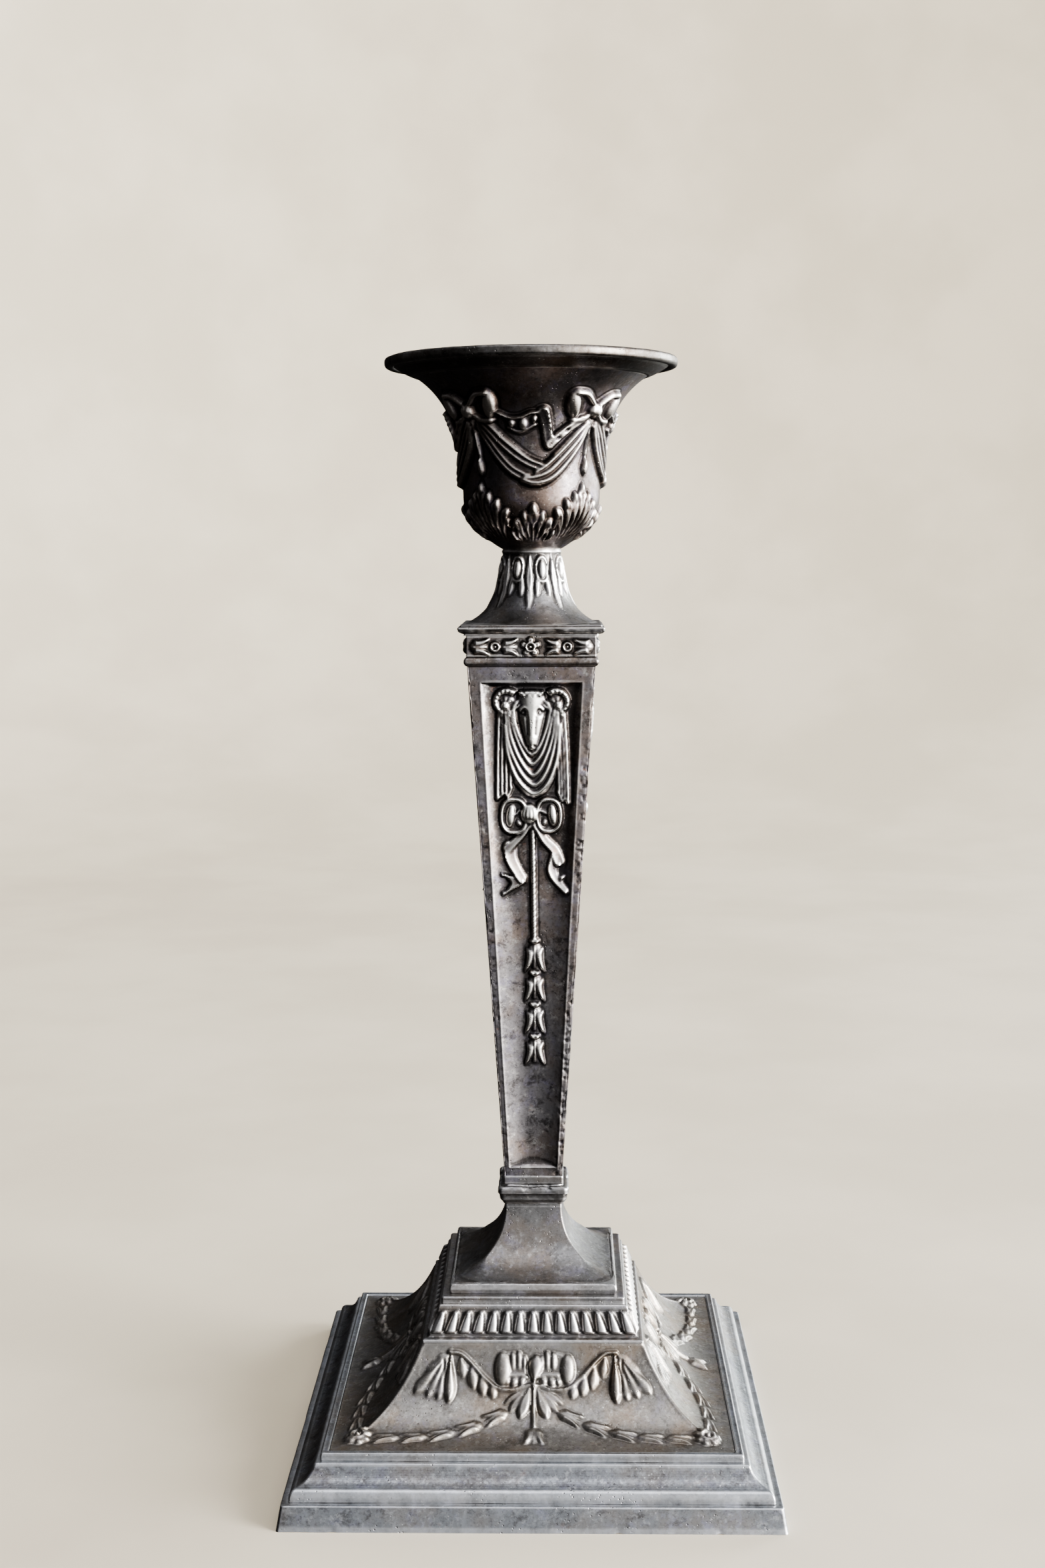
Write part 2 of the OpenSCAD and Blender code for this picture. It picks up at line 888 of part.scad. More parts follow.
module base_board() {
    top_z = rim_top_z - sheet_t;
    w = rim_top_w - sheet_t - 0.3;
    color("peru")
        difference() {
            square_plate(w, baize_t, top_z - baize_t);
            translate([0, 0, baize_t - 1])
                cylinder(r = nut_r + 0.8, h = counterbore_h + 1, $fn = 48);
            translate([0, 0, -1])
                cylinder(r = rod_r, h = top_z + 2, $fn = 48);
        }
}

module baize_pad() {
    color("darkgreen")
        square_plate(rim_top_w - sheet_t - 0.3, 0, baize_t);
}

foot_rim();
foot_moulding();
foot_border();
base_skirt();
fluted_band();
step_moulding();
base_neck();
column_collar();
column_fillet();
column_panel_front();
column_panel_right();
column_panel_back();
column_panel_left();
capital_astragal();
capital_frieze();
capital_abacus();
trumpet_neck();
urn_shell();
socket_liner();
socket_floor();
nozzle_tube();
nozzle_pan();
nozzle_rim_wire();
tie_rod();
tie_nut_top();
tie_nut_bottom();
column_diaphragm();
column_core();
base_loading();
base_board();
baize_pad();
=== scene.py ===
"""Looks of a weighted table candlestick in tarnished silver plate.

Every silver piece is modelled as stamped sheet: a dense grid of points whose ornament is raised and sunk
along the surface normal, in millimetres. The iron, the filling, the board and the baize are inside.
"""

import math

import bpy
import numpy as np
from mathutils import Matrix, Vector


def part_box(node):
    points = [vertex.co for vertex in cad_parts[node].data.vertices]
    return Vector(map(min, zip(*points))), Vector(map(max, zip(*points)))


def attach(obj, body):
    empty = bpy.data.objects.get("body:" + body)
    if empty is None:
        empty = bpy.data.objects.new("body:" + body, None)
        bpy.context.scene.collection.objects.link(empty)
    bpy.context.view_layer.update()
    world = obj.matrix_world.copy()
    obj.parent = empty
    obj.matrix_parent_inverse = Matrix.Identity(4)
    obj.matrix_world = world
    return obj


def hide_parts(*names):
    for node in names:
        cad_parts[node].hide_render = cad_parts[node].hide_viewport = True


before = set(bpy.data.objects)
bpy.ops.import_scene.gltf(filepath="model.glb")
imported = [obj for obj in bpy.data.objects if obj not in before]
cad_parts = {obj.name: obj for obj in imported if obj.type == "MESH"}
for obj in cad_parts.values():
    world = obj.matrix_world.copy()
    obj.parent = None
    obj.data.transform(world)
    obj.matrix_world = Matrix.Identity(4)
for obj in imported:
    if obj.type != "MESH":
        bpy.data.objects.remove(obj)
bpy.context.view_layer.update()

MM = 0.001
FACE = 61.0  # degrees between faces above which an edge is drawn sharp
EDGE_REACH = 2  # grid steps each way over which an edge is felt as worn, and a crease gets painted shade


def node_mm(node):
    """Lowest and highest corner of a CAD node in millimetres."""
    low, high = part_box(node)
    return np.array(low) / MM, np.array(high) / MM


def bottom_mm(node):
    return node_mm(node)[0][2]


def top_mm(node):
    return node_mm(node)[1][2]


def half_mm(node):
    return node_mm(node)[1][0]


# ---------------------------------------------------------------- noise and small maths


def ramp(low, high, v):
    """0 below low, 1 above high, smooth between; low may be above high."""
    t = np.clip((v - low) / (high - low), 0, 1)
    return t * t * (3 - 2 * t)


def lattice(i, j, k, seed):
    """A repeatable random value from 0 to 1 at each lattice point."""
    n = i.astype(np.uint32) * np.uint32(374761393) + j.astype(np.uint32) * np.uint32(668265263)
    n = n + k.astype(np.uint32) * np.uint32(2246822519) + np.uint32(seed * 97651 + 1013)
    n = (n ^ (n >> np.uint32(13))) * np.uint32(1274126177)
    return ((n ^ (n >> np.uint32(16))) & np.uint32(0xFFFFFF)).astype(float) / 0xFFFFFF


def noise(points, size, seed):
    """Smooth noise from -1 to 1 with lumps about size millimetres across."""
    q = points / size + 1000.0
    cell = np.floor(q).astype(np.int64)
    t = q - cell
    t = t * t * (3 - 2 * t)
    total = np.zeros(points.shape[:-1])
    for corner in range(8):
        step = np.array([corner & 1, (corner >> 1) & 1, (corner >> 2) & 1])
        weight = np.prod(np.where(step == 1, t, 1 - t), axis=-1)
        at = cell + step
        total += weight * lattice(at[..., 0], at[..., 1], at[..., 2], seed)
    return total * 2 - 1


def rough(points, size, seed, octaves=3):
    """Noise with finer noise on it."""
    return sum(noise(points, size / 2**n, seed + n) * 0.5**n for n in range(octaves))


def curve(points, n=10):
    """A smooth line through the points."""
    p = np.array(points, float)
    p = np.vstack([2 * p[0] - p[1], p, 2 * p[-1] - p[-2]])
    out = []
    for i in range(1, len(p) - 2):
        for t in np.linspace(0, 1, n, endpoint=False):
            a = 2 * p[i]
            b = p[i + 1] - p[i - 1]
            c = 2 * p[i - 1] - 5 * p[i] + 4 * p[i + 1] - p[i + 2]
            d = -p[i - 1] + 3 * p[i] - 3 * p[i + 1] + p[i + 2]
            out.append(0.5 * (a + b * t + c * t * t + d * t**3))
    out.append(p[-2])
    return np.array(out)


def bend(a, b, c, n):
    """Points on a curve from a to c that is pulled towards b."""
    t = np.linspace(0, 1, n + 1)[:, None]
    a, b, c = np.array(a, float), np.array(b, float), np.array(c, float)
    return (1 - t) ** 2 * a + 2 * t * (1 - t) * b + t * t * c


def bulge(a, c, n):
    """Points on an elliptic quarter that bulges outwards, from a to c."""
    t = np.linspace(0, math.pi / 2, n + 1)
    return np.stack([c[0] + (a[0] - c[0]) * np.cos(t), a[1] + (c[1] - a[1]) * np.sin(t)], 1)


def squarish(middle, rx, ry, power, n, start=0.0):
    """n points round an oval, from the start angle; a power below 1 makes it squarer."""
    t = np.linspace(0, 2 * math.pi, n, endpoint=False) + start
    c, s = np.cos(t), np.sin(t)
    x = middle[0] + rx * np.sign(c) * np.abs(c) ** power
    y = middle[1] + ry * np.sign(s) * np.abs(s) ** power
    return np.stack([x, y], 1)


def spaced(points, step):
    """The outline with points no further apart than step; its own points stay."""
    p = np.array(points, float)
    out = [p[0]]
    for a, b in zip(p[:-1], p[1:]):
        n = max(1, int(math.ceil(np.linalg.norm(b - a) / step)))
        out += [a + (b - a) * i / n for i in range(1, n + 1)]
    return np.array(out)


# ---------------------------------------------------------------- ornament, drawn as heights


class Plate:
    """A height map in millimetres over flat places x, y."""

    def __init__(self, x, y):
        self.x, self.y = x, y
        self.h = np.zeros_like(x)

    def inside(self, box):
        x0, x1, y0, y1 = box
        return np.nonzero((self.x > x0) & (self.x < x1) & (self.y > y0) & (self.y < y1))

    def raise_to(self, shape, box):
        """Ornament that stands on the ground: the higher of the two wins."""
        i = self.inside(box)
        self.h[i] = np.maximum(self.h[i], shape(self.x[i], self.y[i]))

    def add(self, shape, box):
        i = self.inside(box)
        self.h[i] += shape(self.x[i], self.y[i])

    def cover(self, shape, box):
        """Ornament that lies over what is there, with a fine groove round it."""
        i = self.inside(box)
        height, share = shape(self.x[i], self.y[i])
        self.h[i] = self.h[i] * (1 - share) + height * share


def box_of(points, margin):
    """The ranges of x and y that hold the points with a margin round them."""
    (x0, y0), (x1, y1) = np.min(points, axis=0), np.max(points, axis=0)
    return x0 - margin, x1 + margin, y0 - margin, y1 + margin


def turned(x, y, at, angle):
    """Places relative to a point, with the first axis along the angle in degrees."""
    c, s = math.cos(math.radians(angle)), math.sin(math.radians(angle))
    dx, dy = x - at[0], y - at[1]
    return dx * c + dy * s, dy * c - dx * s


def along(path, x, y):
    """Distance from a line of points, signed for its side, and the share of the line passed."""
    best = np.full(x.shape, 1e9)
    place = np.zeros(x.shape)
    side = np.ones(x.shape)
    passed = 0.0
    for (ax, ay), (bx, by) in zip(path[:-1], path[1:]):
        dx, dy = bx - ax, by - ay
        length = math.hypot(dx, dy)
        if length < 1e-9:
            continue
        t = np.clip(((x - ax) * dx + (y - ay) * dy) / length**2, 0, 1)
        px, py = x - ax - t * dx, y - ay - t * dy
        d = np.hypot(px, py)
        near = d < best
        best = np.where(near, d, best)
        place = np.where(near, passed + t * length, place)
        side = np.where(near, np.sign(dx * py - dy * px), side)
        passed += length
    return best * side, place / passed


def dome(plate, at, r, height, stretch=1.0, angle=0.0):
    """A round boss, or an oval one that is longer along the angle by the stretch."""

    def shape(x, y):
        u, v = turned(x, y, at, angle)
        d = np.hypot(u / stretch, v) / r
        return height * np.sqrt(np.clip(1 - d**2.2, 0, 1))

    plate.raise_to(shape, box_of([at], r * max(1, stretch) + 0.3))


def dimple(plate, at, r, depth, stretch=1.0, angle=0.0):
    """A soft round or oval dent."""

    def shape(x, y):
        u, v = turned(x, y, at, angle)
        d = np.hypot(u / stretch, v) / r
        return -depth * np.exp(-(d**2) * 1.6)

    plate.add(shape, box_of([at], 2 * r * max(1, stretch)))


def wire(plate, path, r, height):
    """A half-round thread."""

    def shape(x, y):
        d, _ = along(path, x, y)
        return height * np.sqrt(np.clip(1 - (d / r) ** 2, 0, 1))

    plate.raise_to(shape, box_of(path, r + 0.3))


def groove(plate, path, w, depth):
    """A soft furrow along a line, that runs out at both ends."""

    def shape(x, y):
        d, t = along(path, x, y)
        return -depth * np.exp(-((d / w) ** 2)) * ramp(0, 0.06, t) * ramp(1, 0.94, t)

    plate.add(shape, box_of(path, 3 * w))


def twist_cord(plate, path, r, height, pitch):
    """A cord of two strands laid round each other."""
    length = sum(math.dist(a, b) for a, b in zip(path[:-1], path[1:]))

    def shape(x, y):
        d, t = along(path, x, y)
        ground = np.sqrt(np.clip(1 - (d / r) ** 2, 0, 1))
        lay = np.abs(np.sin(math.pi * (t * length / pitch + 0.45 * d / r)))
        return height * ground * (0.62 + 0.38 * lay**0.6)

    plate.raise_to(shape, box_of(path, r + 0.3))


def petal(plate, at, angle, length, width, height, fullest, vein):
    """A leaf from its root at a point, along an angle, with a vein down its middle."""
    power = math.log(0.5) / math.log(fullest)

    def shape(x, y):
        u, v = turned(x, y, at, angle)
        s = np.clip(u / length, 0, 1)
        w = width / 2 * np.sin(math.pi * s**power) ** 0.75 + 1e-6
        body = np.sqrt(np.clip(1 - (v / w) ** 2, 0, 1))
        body *= np.where((u > 0) & (u < length), 0.6 + 0.4 * np.sin(math.pi * s), 0)
        return height * body * (1 - vein * np.exp(-((v / (0.13 * width)) ** 2)))

    c, s = math.cos(math.radians(angle)), math.sin(math.radians(angle))
    tip = (at[0] + c * length, at[1] + s * length)
    plate.raise_to(shape, box_of([at, tip], width / 2 + 0.3))


def ribbon(plate, path, widths, heights):
    """A flat band over what is there. heights are at its left and right edge, to show its tilt."""
    w0, w1 = widths
    rim = 0.05

    def shape(x, y):
        d, t = along(path, x, y)
        w = (w0 + (w1 - w0) * t) / 2
        across = np.clip(d / w, -1.1, 1.1)
        height = heights[0] + (heights[1] - heights[0]) * (across + 1) / 2
        height = height + rim * np.exp(-(((np.abs(across) - 0.86) / 0.16) ** 2))
        height = height - rim * 0.6 * np.exp(-((across / 0.5) ** 2))
        return height, ramp(w + 0.14, w - 0.08, np.abs(d))

    plate.cover(shape, box_of(path, max(widths) / 2 + 0.4))


def ring(plate, at, rx, ry, r, height, power=2.0):
    """A closed band round an oval."""

    def shape(x, y):
        u, v = np.abs(x - at[0]), np.abs(y - at[1])
        d = ((u / rx) ** power + (v / ry) ** power) ** (1 / power)
        off = (d - 1) * min(rx, ry)
        return height * np.sqrt(np.clip(1 - (off / r) ** 2, 0, 1))

    plate.raise_to(shape, box_of([(at[0] - rx, at[1] - ry), (at[0] + rx, at[1] + ry)], 1.5))


def flower_cup(plate, root, mouth, half, height):
    """A bell flower or a husk: a solid cup that opens into three pointed lobes."""
    angle = math.degrees(math.atan2(mouth[1] - root[1], mouth[0] - root[0]))
    length = math.dist(root, mouth)

    def shape(x, y):
        u, v = turned(x, y, root, angle)
        s = np.clip(u / length, 0, 1.15)
        shoulder = np.sqrt(np.clip(1 - (1 - np.minimum(s / 0.32, 1)) ** 2, 0, 1))
        w = half * 0.66 * shoulder
        rise = np.clip(u / (0.22 * length), 0, 1) ** 0.5
        cup = np.sqrt(np.clip(1 - (v / (w + 1e-6)) ** 2, 0, 1)) * np.sqrt(ramp(0.86, 0.55, s))
        ridge = np.clip(1 - np.abs(v) / (0.3 * half), 0, 1) ** 0.7 * np.sqrt(ramp(1.02, 0.5, s))
        middle = half * (0.36 + 0.62 * np.clip((s - 0.4) / 0.75, 0, 1) ** 1.6)
        thick = 0.36 * half * np.sqrt(np.clip(1.12 - s, 0, 1) / 0.6) + 1e-6
        lobe = np.sqrt(np.clip(1 - ((np.abs(v) - middle) / thick) ** 2, 0, 1))
        lobe = lobe * ramp(0.1, 0.35, s) * ramp(1.12, 0.9, s)
        whole = np.maximum(np.maximum(0.72 * cup, 0.95 * ridge), lobe * (1 - 0.25 * s**4))
        return height * rise * whole * (u > 0)

    plate.raise_to(shape, box_of([root, mouth], half + 0.18 * length + 0.4))


def fold(plate, path, r, height, base, ends=(1.0, 1.0)):
    """A fold of cloth along a line: a narrow crest that falls away to both sides."""

    def shape(x, y):
        d, t = along(path, x, y)
        crest = np.clip(1 - np.abs(d) / r, 0, 1) ** 1.25
        return (base + height * crest) * (ends[0] + (ends[1] - ends[0]) * t) * (crest > 0)

    plate.raise_to(shape, box_of(path, r + 0.2))


def within(outline, x, y):
    """Which places are inside a closed outline, and how far each place is from it."""
    edge = np.vstack([outline, outline[:1]])
    d, _ = along(edge, x, y)
    inside = np.zeros(x.shape, bool)
    for (ax, ay), (bx, by) in zip(edge[:-1], edge[1:]):
        crosses = (ay > y) != (by > y)
        with np.errstate(divide="ignore", invalid="ignore"):
            inside ^= crosses & (x < (bx - ax) * (y - ay) / (by - ay) + ax)
    return inside, np.abs(d)


def cloth(plate, outline, height, soft):
    """A raised area with a soft edge inside an outline."""

    def shape(x, y):
        inside, d = within(outline, x, y)
        return height * ramp(0, soft, np.where(inside, d, 0))

    plate.raise_to(shape, box_of(outline, 0.2))


def rosette(plate, at, r, petals, height):
    """A flower with round petals, a ring and a bead."""
    for i in range(petals):
        turn = 2 * math.pi * (i + 0.25) / petals
        middle = (at[0] + 0.68 * r * math.cos(turn), at[1] + 0.68 * r * math.sin(turn))
        size = min(0.34, 2.0 / petals) * r
        dome(plate, middle, size, 0.85 * height)
        dimple(plate, middle, 0.45 * size, 0.25 * height)
    ring(plate, at, 0.42 * r, 0.42 * r, 0.15 * r, height)
    dome(plate, at, 0.2 * r, 0.95 * height)


# ---------------------------------------------------------------- column ornament


def ram_head(plate, top):
    """A ram's mask seen from the front, between its two curled horns."""
    long = 16.2

    def face(x, y):
        u = np.clip((top - y) / long, 0, 1)
        live = (y < top) & (y > top - long * 1.02)
        w = np.interp(
            u, [0, 0.1, 0.25, 0.4, 0.55, 0.72, 0.86, 0.95, 1],
            [3.2, 3.7, 3.95, 3.65, 3.2, 2.6, 2.1, 1.8, 1.1],
        )
        rise = np.interp(u, [0, 0.12, 0.45, 0.8, 0.94, 1], [1.5, 2.0, 2.35, 2.25, 1.95, 1.0])
        side = np.clip(np.abs(x) / w, 0, 1)
        round_face = np.sqrt(np.clip(1 - side**2.4, 0, 1))
        bridge = np.exp(-((x / (0.55 * w)) ** 2))
        return np.where(live, rise * (0.72 * round_face + 0.28 * bridge * (side < 1)), 0)

    plate.raise_to(face, (-5, 5, top - long * 1.05, top + 0.1))
    for side in (-1, 1):
        petal(plate, (side * 2.6, top - 2.3), 270 + side * 38, 4.6, 2.1, 1.7, 0.4, 0.45)
        dimple(plate, (side * 2.1, top - 5.7), 0.85, 0.75, 1.25, 90 - side * 35)
        dome(plate, (side * 2.15, top - 5.75), 0.5, 1.75)
        wire(
            plate, curve([(side * 1.0, top - 4.9), (side * 2.1, top - 4.3), (side * 3.1, top - 5.2)]),
            0.3, 2.15,
        )
        groove(
            plate, curve([(side * 1.25, top - 6.4), (side * 1.1, top - 9), (side * 0.95, top - 12)]),
            0.32, 0.3,
        )
        dimple(plate, (side * 0.78, top - long + 1.5), 0.32, 0.8, 1.6, 90 + side * 25)
    groove(
        plate, curve([(-1.2, top - long + 0.35), (0, top - long + 0.75), (1.2, top - long + 0.35)]),
        0.16, 0.5,
    )
    for i in range(9):
        lean = (i - 4) * 0.72
        dome(plate, (lean, top - 0.65 - 0.5 * (i % 2)), 0.5, 2.0 + 0.2 * (i % 2))


def ram_horn(plate, side, at, r):
    """One horn: a ridged curl, thick where it leaves the head and thin at its end."""
    start, sweep = (135, -285) if side > 0 else (45, 285)

    def shape(x, y):
        dx, dy = x - at[0], y - at[1]
        turn = np.degrees(np.arctan2(dy, dx))
        passed = np.mod((turn - start) * (1 if sweep > 0 else -1), 360) / abs(sweep)
        live = passed < 1
        middle = r * (1.03 - 0.12 * passed)
        half = r * (0.36 - 0.14 * passed)
        off = (np.hypot(dx, dy) - middle) / half
        body = np.sqrt(np.clip(1 - off**2, 0, 1))
        rib = 0.84 + 0.16 * np.cos(passed * 2 * math.pi * 13 + 1.2 * off)
        rib = np.where(off > 0.25, 1 - (1 - rib) * ramp(0.7, 0.25, off), rib)
        return np.where(live, 2.2 * body * rib * (1 - 0.3 * passed), 0)

    plate.raise_to(shape, box_of([at], r * 1.5))


def column_drape(plate):
    """Cloth hung from the two horns: a swag of nested folds and a straight fall on each side."""
    folds = (
        [
            (-4.7, 200.6), (-4.2, 196.1), (-2.5, 191.5), (-0.9, 188.9), (0.3, 188.3), (2.1, 190.6),
            (3.9, 195.4), (5.0, 200.4),
        ],
        [
            (-5.4, 199.8), (-4.7, 194.9), (-2.9, 190.0), (-0.9, 186.5), (0.5, 185.9), (2.7, 188.8),
            (4.6, 194.5), (5.7, 200),
        ],
        [
            (-6.1, 199.3), (-5.4, 193.1), (-3.6, 187.9), (-1.2, 184.0), (0.7, 182.9), (3.1, 186.3),
            (5.3, 192.5), (6.3, 199.6),
        ],
        [
            (-6.8, 198.9), (-6.1, 191.9), (-4.6, 187.0), (-2.2, 182.5), (0.8, 180.2), (3.7, 183.7),
            (5.9, 190.7), (6.9, 199),
        ],
        [
            (-7.0, 196.0), (-6.3, 189.0), (-4.4, 182.9), (-1.8, 179.3), (1.0, 177.9), (4.2, 180.9),
            (6.6, 187.6), (7.3, 196),
        ],
    )
    lines = [curve(points, 6) for points in folds]
    cloth(plate, np.vstack([lines[0], lines[-1][::-1]]), 0.75, 0.7)
    for i, line in enumerate(lines):
        fold(plate, line, 0.95 + 0.1 * i, 1.05, 0.5)
    for side, low in ((-1, 176.4), (1, 175.2)):
        outer, inner = (9.1, 5.2) if side < 0 else (9.5, 6.7)
        hem = [
            (side * inner, low + 3.2), (side * (inner + 1.2), low + 0.6),
            (side * (inner + 1.9), low + 1.6), (side * outer, low),
        ]
        cloth(plate, [(side * 8.6, 199), (side * 5.7, 199)] + hem, 0.6, 0.4)
        for n in range(4):
            share = n / 3
            foot = (side * (inner + 0.4 + (outer - inner - 0.5) * share), low + 2.6 - 2.4 * share)
            head = (side * (6.2 + 2.3 * share), 199.4)
            knee = (side * (0.35 * abs(head[0]) + 0.65 * abs(foot[0])), 189)
            fold(plate, curve([head, knee, foot], 8), 0.62, 0.95, 0.35)
        wire(plate, curve(hem, 6), 0.4, 1.15)


def bow(plate, at):
    """A ribbon bow: two puffed loops with a rim, a bulge and small pleats, and a grooved knot."""
    cx, cy = at
    for side, reach, drop, rx, ry in ((-1, 4.0, -0.5, 3.25, 4.45), (1, 5.15, -0.3, 3.1, 4.25)):
        middle = (cx + side * reach, cy + drop)
        loop = squarish(middle, rx, ry, 0.8, 40)
        cloth(plate, loop, 0.45, 0.4)
        wire(plate, np.vstack([loop, loop[:1]]), 0.62, 1.45)
        dome(plate, (middle[0] + side * 0.95, middle[1]), 1.35, 1.65, 2.45, 90 + side * 6)
        dome(plate, (middle[0] - side * 1.25, middle[1] - 1.9), 0.8, 1.05, 1.5, 90 - side * 30)
        wire(
            plate,
            curve([
                (cx + side * 1.6, cy + 0.9), (cx + side * 2.6, cy + 1.0),
                (middle[0] - side * 0.6, middle[1] + 0.5),
            ]),
            0.42, 1.1,
        )
    dome(plate, at, 2.55, 2.4, 1.12, 90)
    for lean in (-1.1, -0.1, 0.9):
        line = [(cx + lean * 0.55, cy + 2.3), (cx + lean, cy), (cx + lean * 0.55, cy - 2.3)]
        groove(plate, curve(line), 0.24, 0.32)


def bow_tails(plate):
    """Two ribbon ends that fold back on themselves as they fall, with forked tips."""

    def leg(points, widths, heights):
        ribbon(plate, curve(points, 6), widths, heights)

    torn = [
        (-2.2, 156.6), (-5.0, 156.0), (-8.1, 156.4), (-6.0, 153.9), (-8.0, 150.8), (-4.9, 151.9),
        (-1.9, 153.7),
    ]
    cloth(plate, torn, 1.05, 0.7)
    wire(plate, curve([(-2.4, 156.0), (-5.0, 155.5), (-7.9, 156.2)]), 0.4, 1.2)
    wire(plate, curve([(-2.0, 154.2), (-4.9, 152.6), (-7.7, 151.0)]), 0.45, 1.25)
    leg([(-5.9, 163.6), (-5.6, 160.6), (-4.4, 157.9), (-2.6, 155.0)], (3.3, 2.3), (1.55, 0.4))
    leg([(-0.8, 170.0), (-3.0, 166.6), (-6.6, 163.2)], (1.7, 2.3), (0.8, 1.3))
    torn = [
        (4.6, 157.6), (7.0, 156.0), (9.1, 156.3), (7.9, 154.2), (9.0, 151.5), (6.2, 152.9),
        (4.3, 155.3),
    ]
    cloth(plate, torn, 1.1, 0.7)
    leg([(6.3, 160.8), (5.3, 157.6), (6.2, 155.0), (8.7, 152.0)], (3.1, 1.5), (1.5, 0.45))
    leg([(1.2, 169.4), (3.4, 165.6), (6.0, 162.7), (7.1, 159.8)], (1.8, 2.7), (1.45, 0.6))


def column_ornament(plate):
    """Ram's mask with drapery, a ribbon bow, and a cord of four bellflowers."""
    column_drape(plate)
    twist_cord(plate, curve([(0.1, 170), (0.3, 155), (0.45, 138.2)]), 0.8, 1.1, 1.5)
    bow_tails(plate)
    bow(plate, (-0.7, 172.4))
    for side in (-1, 1):
        boss = (side * 6.9, 201.0)
        dome(plate, (side * 6.5, 201.9), 2.5, 1.35)
        for lean in range(5):
            turn = math.radians(90 - side * (lean * 38 - 62))
            tip = (boss[0] + 2.4 * math.cos(turn), boss[1] + 2.4 * math.sin(turn))
            groove(plate, [boss, tip], 0.22, 0.4)
        dome(plate, boss, 1.25, 1.9, 1.15, 70)
        ram_horn(plate, side, (side * 6.5, 202.0), 2.85)
        for lean in (-0.8, 0.0, 0.8):
            line = [(side * 6.8 + 0.7 * lean, 201.2), (side * 6.8 + lean * 1.3, 198.4)]
            fold(plate, line, 0.5, 0.9, 0.8)
    ram_head(plate, 205.1)
    for top, low in ((138.3, 130.1), (129.5, 121.9), (120.8, 113.0), (112.0, 104.4)):
        ring(plate, (0.5, top - 0.2), 0.75, 0.35, 0.35, 1.3)
        flower_cup(plate, (0.5, top - 0.7), (0.5, low), 2.95, 1.5)


# ---------------------------------------------------------------- meshes from grids


def blurred(a, reach, wrap):
    """Box average over 2 * reach + 1 places each way; wrap says which axes close on themselves."""
    for axis in (0, 1):
        pads = [(0, 0)] * a.ndim
        pads[axis] = (reach + 1, reach)
        mode = "wrap" if wrap[axis] else "edge"
        total = np.cumsum(np.pad(a, pads, mode=mode), axis=axis)
        n = a.shape[axis]
        high = np.take(total, range(2 * reach + 1, 2 * reach + 1 + n), axis=axis)
        low = np.take(total, range(0, n), axis=axis)
        a = (high - low) / (2 * reach + 1)
    return a


def convexity(points, normals, reach, wrap, full):
    """How far each point stands out of its neighbourhood, from -1 to 1 at full millimetres."""
    mean = blurred(blurred(points, reach, wrap), reach, wrap)
    return np.clip(((points - mean) * normals).sum(-1) / full, -1, 1)


def grid_normals(points, wrap):
    def step(axis):
        if wrap[axis]:
            return np.roll(points, -1, axis) - np.roll(points, 1, axis)
        return np.gradient(points, axis=axis)

    n = np.cross(step(1), step(0))
    return n / np.maximum(np.linalg.norm(n, axis=-1, keepdims=True), 1e-12)


def grid_faces(rows, cols, wrap):
    i = np.arange(rows if wrap[0] else rows - 1)[:, None]
    j = np.arange(cols if wrap[1] else cols - 1)[None, :]
    a = i * cols + j
    b = i * cols + (j + 1) % cols
    c = ((i + 1) % rows) * cols + (j + 1) % cols
    d = ((i + 1) % rows) * cols + j
    return np.stack([a, b, c, d], -1).reshape(-1, 4)


def capped_faces(rows, cols):
    """The faces of a tube of points, with one flat face over each end."""
    faces = grid_faces(rows, cols, (False, True)).tolist()
    faces.append(list(range(cols - 1, -1, -1)))
    faces.append(list(range((rows - 1) * cols, rows * cols)))
    return faces


def new_object(name, points, faces, material):
    """A smooth mesh in metres with one material."""
    mesh = bpy.data.meshes.new(name)
    mesh.from_pydata(points.reshape(-1, 3), [], faces)
    mesh.polygons.foreach_set("use_smooth", np.ones(len(mesh.polygons), bool))
    mesh.materials.append(material)
    made = bpy.data.objects.new(name, mesh)
    bpy.context.scene.collection.objects.link(made)
    return made


def unworn(points):
    """The layers of a piece with no worn edges, no painted shade or highlight and no ornament."""
    return {key: np.zeros(points.shape[:2]) for key in ("wear_and_shade", "raised")}


def new_piece(name, points, faces, layers, material, body, node):
    """A mesh in millimetres becomes a piece of the model that stands for a CAD node.

    layers are the values at its points that the material reads.
    """
    piece = new_object(name, points * MM, faces, material)
    mesh = piece.data
    for key, values in layers.items():
        layer = mesh.attributes.new(key, "FLOAT", "POINT")
        layer.data.foreach_set("value", np.asarray(values, np.float32).ravel())
    mesh.set_sharp_from_angle(angle=math.radians(FACE))
    mesh.validate()
    mesh.update()
    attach(piece, body)
    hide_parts(node)
    return piece


